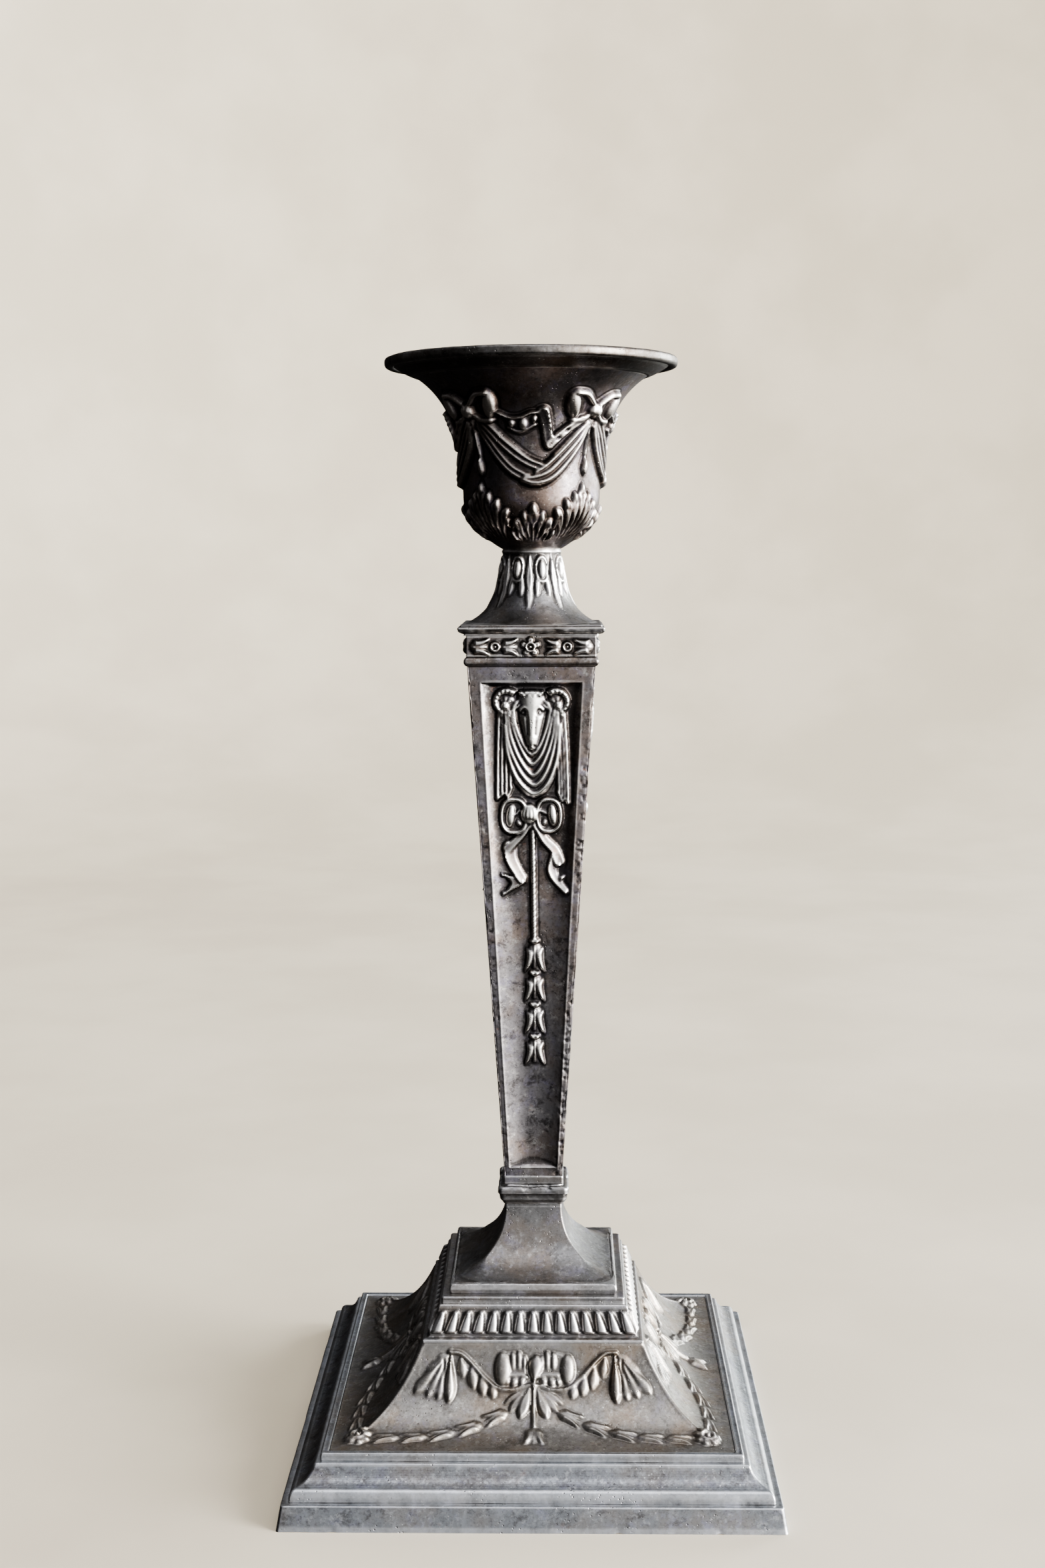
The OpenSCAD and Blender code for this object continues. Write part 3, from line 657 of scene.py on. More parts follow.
class Ring:
    """A closed band of sheet round the axis, with a square or a round plan.

    Its outline is a closed loop of (half width or radius, height): the outer points going up, then
    the inner points coming down. A square plan has round corners of arc steps, and flat steps between.
    """

    def __init__(self, outer, inner=(), square=True, corner=0.3, flat=120, arc=4):
        self.outline = np.array([*outer, *inner], float)
        rows = len(self.outline)
        self.outside = (np.arange(rows) < len(outer))[:, None]
        if square:
            left = np.linspace(-45, 0, arc, endpoint=False)
            turn = np.concatenate([left, np.zeros(flat + 1), -left[:0:-1]])
            share = np.concatenate([-np.ones(arc), np.linspace(-1, 1, flat + 1), np.ones(arc - 1)])
            self.side_cols = len(turn)
            angle = np.radians(turn)
            w = self.outline[:, :1]
            r = np.minimum(corner, w * 0.9)
            x = (w - r) * share + r * np.sin(angle)
            y = -(w - r) - r * np.cos(angle)
            nx, ny = np.sin(angle) + 0 * w, -np.cos(angle) + 0 * w
            # places on one side: across it, and how far out it is
            self.x, self.w = x, -y
            tiles = [(x, y, nx, ny)]
            for _ in range(3):
                x, y, nx, ny = tiles[-1]
                tiles.append((-y, x, -ny, nx))
            x, y, nx, ny = (np.concatenate([t[i] for t in tiles], 1) for i in range(4))
        else:
            angle = np.linspace(0, 2 * math.pi, flat, endpoint=False) - math.pi
            r = self.outline[:, :1]
            x, y = r * np.sin(angle), -r * np.cos(angle)
            nx, ny = np.sin(angle) + 0 * r, -np.cos(angle) + 0 * r
            self.angle = np.degrees(angle) + 0 * r
        tangent = np.roll(self.outline, -1, 0) - np.roll(self.outline, 1, 0)
        length = np.maximum(np.linalg.norm(tangent, axis=1), 1e-9)
        out, up = tangent[:, 1] / length, -tangent[:, 0] / length
        z = np.repeat(self.outline[:, 1:], x.shape[1], 1)
        self.points = np.stack([x, y, z], -1)
        across = np.ones(x.shape[1])
        self.normals = np.stack([nx * out[:, None], ny * out[:, None], up[:, None] * across], -1)
        step = np.linalg.norm(np.diff(self.outline, axis=0), axis=1)
        # how far along the outline each point is
        self.run = np.concatenate([[0], np.cumsum(step)])[:, None] * across
        self.raised = np.zeros((rows, x.shape[1]))

    def tiled(self, heights):
        """Heights drawn on one side, repeated on all four."""
        return np.concatenate([heights] * 4, 1)

    def lift(self, heights, raised=False):
        """Moves the points along the normals; raised says that this is ornament."""
        self.points = self.points + self.normals * heights[..., None]
        if raised:
            self.raised = np.maximum(self.raised, heights)

    def build(self, name, material, body, node, full=0.06):
        """full is how many millimetres a point stands out where the metal is worn brightest, or sinks in
        where the painted shade is darkest.
        """
        wrap = (True, True)
        normals = grid_normals(self.points, wrap)
        layers = {
            # the first layer: worn bright where a point stands out, tarnish and painted shade where it
            # sinks in
            "wear_and_shade": convexity(self.points, normals, EDGE_REACH, wrap, full),
            "raised": np.clip(self.raised, -1, 2),
        }
        faces = grid_faces(*self.raised.shape, wrap)
        return new_piece(name, self.points, faces, layers, material, body, node)


def knocks(ring, seed, dents, waves=0.05):
    """Knocks of handling: shallow dents and a slightly uneven surface, never outwards."""
    p = ring.points
    hollow = np.clip(rough(p, 14, seed) - 0.35, 0, 1)
    small = np.clip(noise(p, 2.6, seed + 9) - 0.55, 0, 1)
    return -(dents * hollow + 0.35 * dents * small + waves * (noise(p, 6, seed + 5) * 0.5 + 0.5))


# ---------------------------------------------------------------- materials


class Look:
    """A node material built step by step. All patterns are placed in the model's own space."""

    def __init__(self, name):
        self.material = bpy.data.materials.new(name)
        self.material.use_nodes = True
        self.tree = self.material.node_tree
        self.tree.nodes.clear()
        self.out = self.new("ShaderNodeOutputMaterial")
        self.shader = self.new("ShaderNodeBsdfPrincipled")
        self.link(self.shader.outputs[0], self.out.inputs[0])
        self.place = self.new("ShaderNodeTexCoord").outputs["Object"]

    def new(self, kind, **settings):
        node = self.tree.nodes.new(kind)
        for key, value in settings.items():
            setattr(node, key, value)
        return node

    def link(self, source, target):
        if isinstance(source, (int, float, tuple)):
            target.default_value = source
        else:
            self.tree.links.new(source, target)

    def math(self, operation, a, b, clamp=False):
        node = self.new("ShaderNodeMath", operation=operation, use_clamp=clamp)
        self.link(a, node.inputs[0])
        self.link(b, node.inputs[1])
        return node.outputs[0]

    def layer(self, key):
        return self.new("ShaderNodeAttribute", attribute_name=key).outputs["Fac"]

    def noise(self, size_mm, detail=4.0, rough=0.6, stretch=None, distortion=0.0):
        place = self.place
        if stretch is not None:
            scaled = self.new("ShaderNodeMapping")
            self.link(place, scaled.inputs["Vector"])
            scaled.inputs["Scale"].default_value = stretch
            place = scaled.outputs[0]
        node = self.new("ShaderNodeTexNoise")
        self.link(place, node.inputs["Vector"])
        node.inputs["Scale"].default_value = 1000.0 / size_mm
        node.inputs["Detail"].default_value = detail
        node.inputs["Roughness"].default_value = rough
        node.inputs["Distortion"].default_value = distortion
        return node.outputs["Fac"]

    def cells(self, size_mm):
        node = self.new("ShaderNodeTexVoronoi")
        self.link(self.place, node.inputs["Vector"])
        node.inputs["Scale"].default_value = 1000.0 / size_mm
        return node.outputs["Distance"]

    def span(self, value, low, high, to_low=0.0, to_high=1.0):
        node = self.new("ShaderNodeMapRange", interpolation_type="SMOOTHSTEP")
        self.link(value, node.inputs["Value"])
        for key, number in zip(
            ("From Min", "From Max", "To Min", "To Max"), (low, high, to_low, to_high),
        ):
            self.link(number, node.inputs[key])
        return node.outputs["Result"]

    def mix(self, share, a, b):
        node = self.new("ShaderNodeMix", data_type="RGBA")
        self.link(share, node.inputs[0])
        for source, target in ((a, node.inputs[6]), (b, node.inputs[7])):
            self.link((*source, 1.0) if isinstance(source, tuple) else source, target)
        return node.outputs[2]

    def coat(self, color, share, strength, tint):
        """A tint over the colour where share is 1, as thick as strength."""
        return self.mix(self.math("MULTIPLY", share, strength), color, tint)

    def swing(self, value, pattern, amount):
        """The value with a pattern's ups and downs added."""
        lean = self.math("SUBTRACT", pattern, 0.5)
        return self.math("ADD", value, self.math("MULTIPLY", lean, amount))

    def bump(self, height, depth_mm, strength, below=None):
        node = self.new("ShaderNodeBump")
        node.inputs["Strength"].default_value = strength
        node.inputs["Distance"].default_value = depth_mm * MM
        self.link(height, node.inputs["Height"])
        if below is not None:
            self.link(below, node.inputs["Normal"])
        return node.outputs[0]

    def finish(self, color, roughness, normal=None, metallic=0.0):
        self.link(color, self.shader.inputs["Base Color"])
        self.link(roughness, self.shader.inputs["Roughness"])
        self.shader.inputs["Metallic"].default_value = metallic
        if normal is not None:
            self.link(normal, self.shader.inputs["Normal"])
        return self.material


def blend(a, b, share):
    """A colour that is share of the way from a to b."""
    return tuple((1 - share) * p + share * q for p, q in zip(a, b))


def silver(
    name, ground, bright, dirt_and_shade, relief=0.6, edge=0.4, clean=-0.1, lilac=0.5, specks=0.35, copper=0.2,
    gloss=0.5, pits=0.6, hollow_tarnish_and_shade=0.6, warm=0.6, stains=1.0,
):
    """Old silver plate: tarnish and painted shade lie in the hollows and creases, and the edges and
    raised parts are worn bright, on the ornament partly as a painted highlight.

    The three colours are those of the flat ground, of the bright metal (worn, and painted highlight),
    and of the hollows (tarnish and painted shade), which also tints the dark grain, stains and pits.
    relief, edge and clean say how much ornament, edges and all of it are worn bright; the rest say how
    strong the lilac and warm tarnish, the pale specks, the bare copper, the shine, the pits, the
    tarnish and painted shade in the hollows and the stains are.
    """
    look = Look(name)
    wear_and_shade = look.layer("wear_and_shade")
    raised = look.layer("raised")
    cloud = look.noise(19, 5, 0.65)
    blotch = look.noise(5.2, 6, 0.7, distortion=0.4)
    grain = look.noise(0.85, 4, 0.7)
    fine = look.noise(0.28, 3, 0.75)
    streak = look.noise(3.0, 4, 0.65, stretch=(1.0, 1.0, 0.16))

    uneven = look.math("ADD", look.math("MULTIPLY", blotch, 0.7), look.math("MULTIPLY", grain, 0.5))
    uneven = look.math("SUBTRACT", uneven, 0.6)
    # worn bright: real wear on edges, and a painted highlight on the raised ornament
    rubbed_and_highlit = look.math(
        "ADD", look.math("MULTIPLY", wear_and_shade, edge * 1.5), look.math("MULTIPLY", raised, relief * 0.55),
    )
    rubbed_and_highlit = look.math("ADD", rubbed_and_highlit, look.math("MULTIPLY", uneven, 1.1))
    rubbed_and_highlit = look.span(look.math("ADD", rubbed_and_highlit, clean - 0.12), 0.0, 1.0)
    # painted shade in creases and at the foot of the ornament, with the tarnish of the hollows
    sunk = look.math("ADD", look.math("MULTIPLY", wear_and_shade, -1.25), look.math("MULTIPLY", uneven, 0.9))
    sunk = look.span(sunk, 0.12, 0.75)

    lilac_tint = (ground[0] * 1.02 + 0.03, ground[1] + 0.03, ground[2] * 1.18 + 0.075)
    brown_tint = (ground[0] * 1.05 + 0.01, ground[1] * 0.86, ground[2] * 0.66)
    streak_tint = tuple(c * 1.5 + 0.03 for c in ground)
    color = look.coat(ground, look.span(cloud, 0.58, 0.36), warm, brown_tint)
    color = look.coat(color, look.span(blotch, 0.5, 0.7), lilac, lilac_tint)
    color = look.coat(color, look.span(streak, 0.5, 0.75), 0.35, streak_tint)
    color = look.coat(color, look.span(grain, 0.45, 0.72), 0.4, dirt_and_shade)
    stain = look.span(look.noise(4.6, 8, 0.8, distortion=0.25), 0.51, 0.63)
    color = look.coat(color, stain, 0.45 * stains, dirt_and_shade)
    scuff = look.span(look.noise(4.2, 8, 0.82), 0.55, 0.66)
    color = look.coat(color, scuff, 0.5 * stains, blend(ground, bright, 0.5))
    # tarnish and painted shade darken the hollows; the worn metal and painted highlight go over them
    color = look.coat(color, sunk, hollow_tarnish_and_shade, dirt_and_shade)
    color = look.mix(rubbed_and_highlit, color, bright)
    bare = look.span(look.noise(8.5, 5, 0.75), 0.635, 0.7)
    color = look.coat(color, bare, copper, (0.62, 0.36, 0.27))
    dots = look.math(
        "MULTIPLY", look.span(look.cells(1.5), 0.17, 0.08),
        look.span(look.noise(7, 3, 0.6), 0.48, 0.62),
    )
    color = look.coat(color, dots, specks, (0.92, 0.92, 0.9))
    mottle = look.span(look.noise(1.6, 5, 0.72), 0.53, 0.66)
    color = look.coat(color, mottle, 0.75 * specks, blend(ground, bright, 0.55))
    holes = look.math(
        "MULTIPLY", look.span(look.cells(1.15), 0.22, 0.08),
        look.span(look.noise(11, 3, 0.6), 0.5, 0.64),
    )
    color = look.coat(color, holes, pits, tuple(c * 0.5 for c in dirt_and_shade))

    roughness = look.span(rubbed_and_highlit, 0.0, 1.0, 0.45 - gloss * 0.1, 0.4 - gloss * 0.25)
    roughness = look.swing(look.swing(roughness, grain, 0.22), blotch, 0.3)
    roughness = look.math("ADD", roughness, look.math("MULTIPLY", holes, 0.2), clamp=True)
    marks = look.noise(0.55, 2, 0.5, stretch=(0.12, 0.12, 1.0))
    normal = None
    for pattern, depth, strength in (
        (blotch, 0.05, 0.55), (grain, 0.035, 0.6), (fine, 0.012, 0.5), (marks, 0.008, 0.35),
        (holes, -0.09, 0.9),
    ):
        normal = look.bump(pattern, depth, strength, normal)
    return look.finish(color, roughness, normal, 1.0)


foot_silver = silver(
    "silver_foot", (0.39, 0.408, 0.432), (0.86, 0.87, 0.88), (0.11, 0.10, 0.098), relief=0.5, clean=0.0,
    specks=0.7, copper=0.1, gloss=0.35, pits=0.7, warm=0.4, stains=1.2,
)
skirt_silver = silver(
    "silver_skirt", (0.33, 0.316, 0.298), (0.76, 0.73, 0.67), (0.11, 0.098, 0.086), relief=0.14,
    edge=0.24, clean=-0.04, lilac=0.4, specks=0.65, copper=0.15, gloss=0.35, pits=0.5, hollow_tarnish_and_shade=0.4,
)
plinth_silver = silver(
    "silver_plinth", (0.29, 0.286, 0.284), (0.82, 0.81, 0.80), (0.12, 0.112, 0.108), relief=0.35,
    clean=0.0, specks=0.5, gloss=0.4, warm=0.5,
)
column_silver = silver(
    "silver_column", (0.29, 0.277, 0.284), (0.9, 0.88, 0.83), (0.04, 0.035, 0.033), relief=0.65,
    edge=0.36, lilac=0.6, specks=0.3, copper=0.4, pits=0.7, hollow_tarnish_and_shade=0.7, stains=1.5,
)
capital_silver = silver(
    "silver_capital", (0.25, 0.24, 0.238), (0.88, 0.86, 0.82), (0.045, 0.04, 0.037), edge=0.42,
    clean=-0.08, specks=0.3, copper=0.4, pits=0.7, hollow_tarnish_and_shade=0.7, stains=1.2,
)
neck_silver = silver(
    "silver_neck", (0.28, 0.275, 0.275), (0.86, 0.84, 0.81), (0.05, 0.045, 0.04), edge=0.45,
    clean=-0.02, pits=0.5, warm=0.5,
)
urn_silver = silver(
    "silver_urn", (0.2, 0.184, 0.188), (0.84, 0.79, 0.73), (0.03, 0.024, 0.021), relief=0.4, edge=0.36,
    clean=-0.12, lilac=0.65, specks=0.2, copper=0.3, pits=0.4, hollow_tarnish_and_shade=0.7, warm=0.7, stains=0.9,
)
pan_silver = silver(
    "silver_pan", (0.1, 0.09, 0.082), (0.55, 0.54, 0.52), (0.025, 0.021, 0.018), relief=0.3, edge=0.35,
    clean=-0.08, lilac=0.4, copper=0.12, gloss=0.4, pits=0.5, warm=0.7, stains=0.9,
)


# ---------------------------------------------------------------- levels and widths, from the CAD

foot_w = half_mm("foot_rim")
foot_top_z = top_mm("foot_rim")
rim_top_w = foot_w - 1.0
ovolo_w = half_mm("foot_moulding")
ovolo_top_w = ovolo_w - 1.9
ovolo_top_z = foot_top_z + 3.0
hollow_top_z = top_mm("foot_moulding")
border_w = half_mm("foot_border")
hollow_top_w = border_w + 1.4
border_top_z = top_mm("foot_border")
field_w = half_mm("base_skirt")
field_z = border_top_z - 0.4
skirt_top_w = half_mm("fluted_band")
skirt_top_z = bottom_mm("fluted_band")
band_top_z = bottom_mm("step_moulding")
band_top_w = half_mm("step_moulding")
step_top_z = top_mm("step_moulding")
plinth_w = half_mm("base_neck")
neck_top_z = bottom_mm("column_collar")
collar_w = half_mm("column_collar")
collar_top_z = top_mm("column_collar")
fillet_w = half_mm("column_fillet")
column_foot_z = bottom_mm("column_panel_front")
column_top_z = top_mm("column_panel_front")
column_top_w = half_mm("column_panel_front")
column_foot_w = fillet_w - 0.35
astragal_w = half_mm("capital_astragal")
astragal_top_z = top_mm("capital_astragal")
frieze_top_z = bottom_mm("capital_abacus")
frieze_w = astragal_w - 0.7
abacus_w = half_mm("capital_abacus")
abacus_top_z = top_mm("capital_abacus")
trumpet_foot_r = half_mm("trumpet_neck")
trumpet_top_z = top_mm("trumpet_neck")
trumpet_top_r = 7.6
urn_floor_z = bottom_mm("socket_liner")
lip_z = top_mm("urn_shell")
lip_r = half_mm("urn_shell")
liner_r = half_mm("socket_liner")
liner_top_z = top_mm("socket_liner")
tube_floor_z = bottom_mm("nozzle_tube")
tube_top_z = top_mm("nozzle_tube")
tube_r = half_mm("nozzle_tube")
pan_r = half_mm("nozzle_pan")
rim_r = half_mm("nozzle_rim_wire")
rim_top_z = top_mm("nozzle_rim_wire")
rim_low_z = bottom_mm("nozzle_rim_wire")
rod_r = half_mm("tie_rod")
SHEET = 0.9

# ---------------------------------------------------------------- foot


def plain_ring(
    node, outer, inner, material, seed, step, corner=0.5, dents=0.1, flat=130, nicks=0.0,
):
    """A square moulding with no ornament, with the dents and worn corners of use; its material darkens
    its creases with tarnish and painted shade.
    """
    band = Ring(spaced(outer, step), inner, corner=corner, flat=flat, arc=5)
    band.lift(knocks(band, seed, dents))
    if nicks:
        # small bites out of the edge that stands on the table
        p = band.points
        bites = np.clip(noise(p * np.array([1, 1, 0.2]), 3.1, seed + 30) - 0.62, 0, 1)
        band.lift(-nicks * bites * ramp(1.2, 0.0, p[..., 2]))
    return band.build(node + "_sheet", material, "stand", node, 0.09)


edge = 0.45
plain_ring(
    "foot_rim",
    np.vstack([
        [(foot_w, 0.0)], bulge((rim_top_w, foot_top_z - edge), (rim_top_w - edge, foot_top_z), 5),
        [(ovolo_w - 0.6, foot_top_z)],
    ]),
    [
        (ovolo_w - 1.1, foot_top_z - SHEET), (rim_top_w - SHEET, foot_top_z - SHEET),
        (foot_w - SHEET, 0.0),
    ],
    foot_silver, seed=11, step=0.55, corner=0.9, dents=0.16, flat=230, nicks=0.9,
)

ovolo = np.vstack([
    [(ovolo_w, foot_top_z)], bulge((ovolo_w, foot_top_z + 0.6), (ovolo_top_w, ovolo_top_z), 9),
    bend(
        (ovolo_top_w - 0.2, ovolo_top_z + 0.1), (hollow_top_w + 1, ovolo_top_z + 0.9),
        (hollow_top_w, hollow_top_z - 0.25), 10,
    ),
    [(hollow_top_w - 0.25, hollow_top_z), (border_w - 0.8, hollow_top_z)],
])
plain_ring(
    "foot_moulding", ovolo,
    [
        (border_w - 1.3, hollow_top_z - SHEET), (hollow_top_w - SHEET, hollow_top_z - 1.3),
        (ovolo_top_w - 1.6, ovolo_top_z), (ovolo_w - SHEET, foot_top_z),
    ],
    foot_silver, seed=23, step=0.45, corner=0.6, flat=200,
)

bead = 0.5
plain_ring(
    "foot_border",
    np.vstack([
        [(border_w, hollow_top_z)],
        bulge((border_w, border_top_z - 2 * bead), (border_w - bead, border_top_z), 6),
        [(border_w - 2 * bead, border_top_z - 0.12), (field_w + bead, border_top_z - 0.08)],
        bulge((field_w + bead, border_top_z - 0.08), (field_w + 0.12, field_z), 3)[1:],
    ]),
    [(field_w, hollow_top_z)], foot_silver, seed=31, step=0.4, dents=0.06, flat=200,
)

# ---------------------------------------------------------------- skirt with its garlands


def curtain(plate, side):
    """Cloth drawn up from the bow to a peg in short pleats, with a wide fall beyond it."""

    def across(points):
        return [(side * a, b) for a, b in points]

    roll = across([
        (0.6, 20.7), (2.7, 20.2), (5.6, 19.4), (9.4, 20.0), (12.9, 22.8), (16.2, 26.4), (18.9, 28.6),
        (21.8, 29.0),
    ])
    under = across([
        (2.4, 20.0), (9.4, 20.3), (16.2, 26.6), (20.2, 28.8), (20.3, 24.0), (16.6, 20.7), (12.4, 18.2),
        (8.0, 17.2),
    ])
    cloth(plate, under, 0.4, 2.0)
    for a, high, length, width in (
        (18.9, 27.9, 5.4, 2.5), (16.2, 25.9, 6.4, 2.6), (13.6, 23.4, 5.4, 2.6), (10.8, 21.2, 3.9, 2.4),
    ):
        petal(plate, (side * a, high), 270 - side * 8, length, width, 0.95, 0.6, 0.0)
    wire(plate, curve(roll, 6), 0.5, 1.15)
    fall = across([
        (21.6, 29.2), (24.6, 28.6), (27.6, 25.6), (29.4, 22.4), (30.9, 18.8), (27.4, 18.2),
        (24.6, 17.2), (21.6, 16.6),
    ])
    cloth(plate, fall, 0.7, 1.6)
    for a, b, width, height in (
        (30.6, 18.6, 3.0, 1.15), (27.4, 17.6, 2.6, 1.05), (24.6, 16.9, 2.4, 1.1),
    ):
        root = (side * 22.0, 29.0)
        tip = (side * a, b)
        angle = math.degrees(math.atan2(tip[1] - root[1], tip[0] - root[0]))
        petal(plate, root, angle, math.dist(root, tip), width, height, 0.8, 0.0)
    root = (side * 21.4, 29.5)
    petal(plate, root, 270 + side * 1.5, 13.4, 3.1, 1.9, 0.72, 0.0)
    groove(plate, curve(across([(23.3, 27.6), (23.1, 23.0), (22.9, 18.4)]), 6), 0.35, 0.5)
    groove(plate, curve(across([(19.9, 27.8), (20.0, 23.5), (19.9, 18.6)]), 6), 0.3, 0.4)


def skirt_bow(plate):
    """The bow over the garlands: on each side a thick outer loop, and fingers beside it."""
    for side, reach, half in ((-1, 7.8, 2.2), (1, 9.1, 1.95)):
        dome(plate, (side * reach, 24.7), half, 1.75, 2.0, 90)
        base = [
            (side * 1.6, 28.4), (side * 6.5, 29.2), (side * 8.5, 28.6), (side * 8.0, 21.0),
            (side * 3.0, 20.6), (side * 1.2, 22),
        ]
        cloth(plate, base, 0.55, 0.7)
        for x, low, high, w in (
            (2.3, 24.6, 28.3, 0.75), (3.7, 24.4, 29.4, 0.95), (5.3, 24.2, 29.2, 0.95),
        ):
            middle = (low + high) / 2
            dome(plate, (side * x + 0.1, middle), w, 1.25, (high - low) / 2 / w, 90)
        wire(plate, curve([(side * 1.4, 22.6), (side * 3.2, 23.2), (side * 6.6, 23.1)]), 0.4, 1.2)
        for x, y, w in ((2.8, 21.7, 0.95), (4.9, 21.5, 1.05), (6.6, 21.5, 0.7)):
            dome(plate, (side * x, y), w, 1.1, 1.35, 90 + side * 18)
    petal(plate, (0.3, 20.3), 84, 8.1, 4.0, 2.0, 0.66, 0.0)


def skirt_ornament(plate):
    """A bow with curtains over two garlands of husks, on one side of the skirt.

    Places are millimetres across the side and up its slope.
    """
    husks = (
        ((6.5, 13.7), (12.3, 10.9), 2.0), ((13.0, 10.2), (19.0, 7.9), 1.95),
        ((19.7, 7.9), (26.1, 6.0), 1.8), ((26.9, 6.3), (33.1, 5.5), 1.65),
        ((34.0, 5.9), (40.3, 5.3), 1.6),
    )
    for side in (-1, 1):
        curtain(plate, side)
        petal(plate, (side * 0.6 + 0.2, 20.4), 270 + side * 57, 8.3, 2.0, 0.85, 0.6, 0.2)
        petal(plate, (side * 0.6 + 0.2, 20.4), 270 + side * 40, 8.9, 2.5, 1.15, 0.62, 0.2)
        petal(plate, (side * 0.7 + 0.2, 20.6), 270 + side * 18, 9.2, 3.3, 1.55, 0.62, 0.12)
        for root, mouth, half in husks:
            flower_cup(plate, (side * root[0], root[1]), (side * mouth[0], mouth[1]), half, 1.05)
    skirt_bow(plate)
    wire(plate, [(0.3, 20.6), (0.4, 9.8)], 0.55, 1.3)
    dome(plate, (0.3, 20.5), 0.95, 1.6)
    dome(plate, (0.4, 9.4), 0.7, 1.15)
    flower_cup(plate, (0.35, 9.1), (0.4, 3.6), 2.75, 1.3)


skirt_line = bend((field_w, field_z), (field_w - 14.4, field_z), (skirt_top_w, skirt_top_z), 60)
skirt_outer = spaced(skirt_line, 0.31)
skirt_inner = [
    (skirt_top_w - SHEET, skirt_top_z - 0.4), (skirt_top_w + 1.2, skirt_top_z - 9),
    (field_w - 13, field_z + 2.0), (field_w - 8, field_z - 0.55), (field_w - 0.2, field_z - SHEET),
]
skirt = Ring(skirt_outer, skirt_inner, corner=0.85, flat=290, arc=6)
drawn = Plate(skirt.x, skirt.run[:, : skirt.side_cols].copy())
skirt_ornament(drawn)
corner_flower = Plate(np.abs(skirt.x), skirt.w)
rosette(corner_flower, (44.7, 44.7), 3.7, 8, 1.3)
relief = np.maximum(0.85 * drawn.h, corner_flower.h) * skirt.outside
relief = blurred(relief, 1, (False, False))
# the worn rib along each mitred corner
rib = 0.22 * np.exp(-(((skirt.w - np.abs(skirt.x)) / 0.7) ** 2)) * skirt.outside
rib = rib * ramp(4.5, 8.0, drawn.y) * ramp(31.2, 29.5, drawn.y)
skirt.lift(skirt.tiled(relief), True)
skirt.lift(skirt.tiled(rib))
skirt.lift(knocks(skirt, 41, 0.1, 0.04) * skirt.outside)
skirt.build("base_skirt_sheet", skirt_silver, "stand", "base_skirt", 0.075)

# ---------------------------------------------------------------- fluted band, step and neck

FLUTES = 15
flute_foot_w = skirt_top_w - 1.75
flute_foot_z = skirt_top_z + 1.9
flute_tip_z = band_top_z - 1.3
flute_top_w = band_top_w + 1.0
band_outer = np.vstack([
    [(skirt_top_w, skirt_top_z)],
    bulge((skirt_top_w, skirt_top_z + 0.3), (skirt_top_w - 0.5, skirt_top_z + 0.8), 4),
    bend(
        (skirt_top_w - 0.7, skirt_top_z + 0.9), (flute_foot_w, skirt_top_z + 1),
        (flute_foot_w, flute_foot_z), 6,
    ),
    [(flute_top_w, band_top_z - 1.5)],
    bulge((flute_top_w - 0.1, band_top_z - 1.4), (band_top_w + 0.1, band_top_z), 6),
])
band_outer = spaced(band_outer, 0.24)
band_inner = [
    (band_top_w - 1.1, band_top_z), (flute_top_w - 1.6, band_top_z - 1.5),
    (flute_foot_w - 1.2, skirt_top_z + 0.2), (skirt_top_w - 1.2, skirt_top_z),
]
band = Ring(band_outer, band_inner, corner=0.45, flat=250)
share = band.x / (band.w + 1e-9) * FLUTES / 2
place = share - np.round(share)
z = band.points[:, : band.side_cols, 2]
rise = np.clip((z - flute_foot_z) / (flute_tip_z - flute_foot_z), 0, 1)
half_flute = 0.43 * np.clip(rise / 0.08, 0, 1) ** 0.5 * (1 - 0.62 * rise**1.6)
tongue = np.sqrt(np.clip(1 - (place / (half_flute + 1e-6)) ** 2, 0, 1)) * (rise > 0) * (rise < 1)
tongue = tongue * ramp(1.0, 0.86, rise)
flutes = blurred(0.95 * tongue * band.outside, 1, (False, False))
between = ramp(0.25, 0.5, np.abs(place)) * ramp(0, 0.1, rise) * ramp(1, 0.8, rise)
flutes = flutes - 0.3 * band.outside * between
band.lift(band.tiled(flutes), True)
band.lift(knocks(band, 53, 0.12, 0.04) * band.outside)
band.build("fluted_band_sheet", plinth_silver, "stand", "fluted_band")

edge = 0.5
plain_ring(
    "step_moulding",
    np.vstack([
        [(band_top_w, band_top_z)],
        bulge((band_top_w, step_top_z - edge), (band_top_w - edge, step_top_z), 6),
        [(plinth_w - 1.2, step_top_z)],
    ]),
    [(plinth_w - 1.8, step_top_z - 0.3), (band_top_w - 2.2, band_top_z)], plinth_silver,
    seed=61, step=0.3, corner=0.7, dents=0.22,
)

plinth_top_w = plinth_w - 0.9
plinth_top_z = neck_top_z - 17.2
neck_top_w = 7.7
neck_line = bend(
    (plinth_top_w - 0.7, plinth_top_z), (neck_top_w - 0.3, plinth_top_z + 4.4),
    (neck_top_w, neck_top_z), 34,
)
neck_outer = spaced(
    np.vstack([
        [(plinth_w - 0.3, step_top_z)],
        bulge((plinth_w, step_top_z + 1), (plinth_top_w, plinth_top_z), 7),
        [(plinth_top_w - 0.25, plinth_top_z - 0.2)], neck_line,
    ]),
    0.4,
)
neck_inner = [
    (neck_top_w - 1.1, neck_top_z), (neck_top_w - 0.6, neck_top_z - 8),
    (neck_top_w + 3, plinth_top_z + 2.0), (plinth_w - 2.4, plinth_top_z - 1.1),
    (plinth_w - 2.0, step_top_z),
]
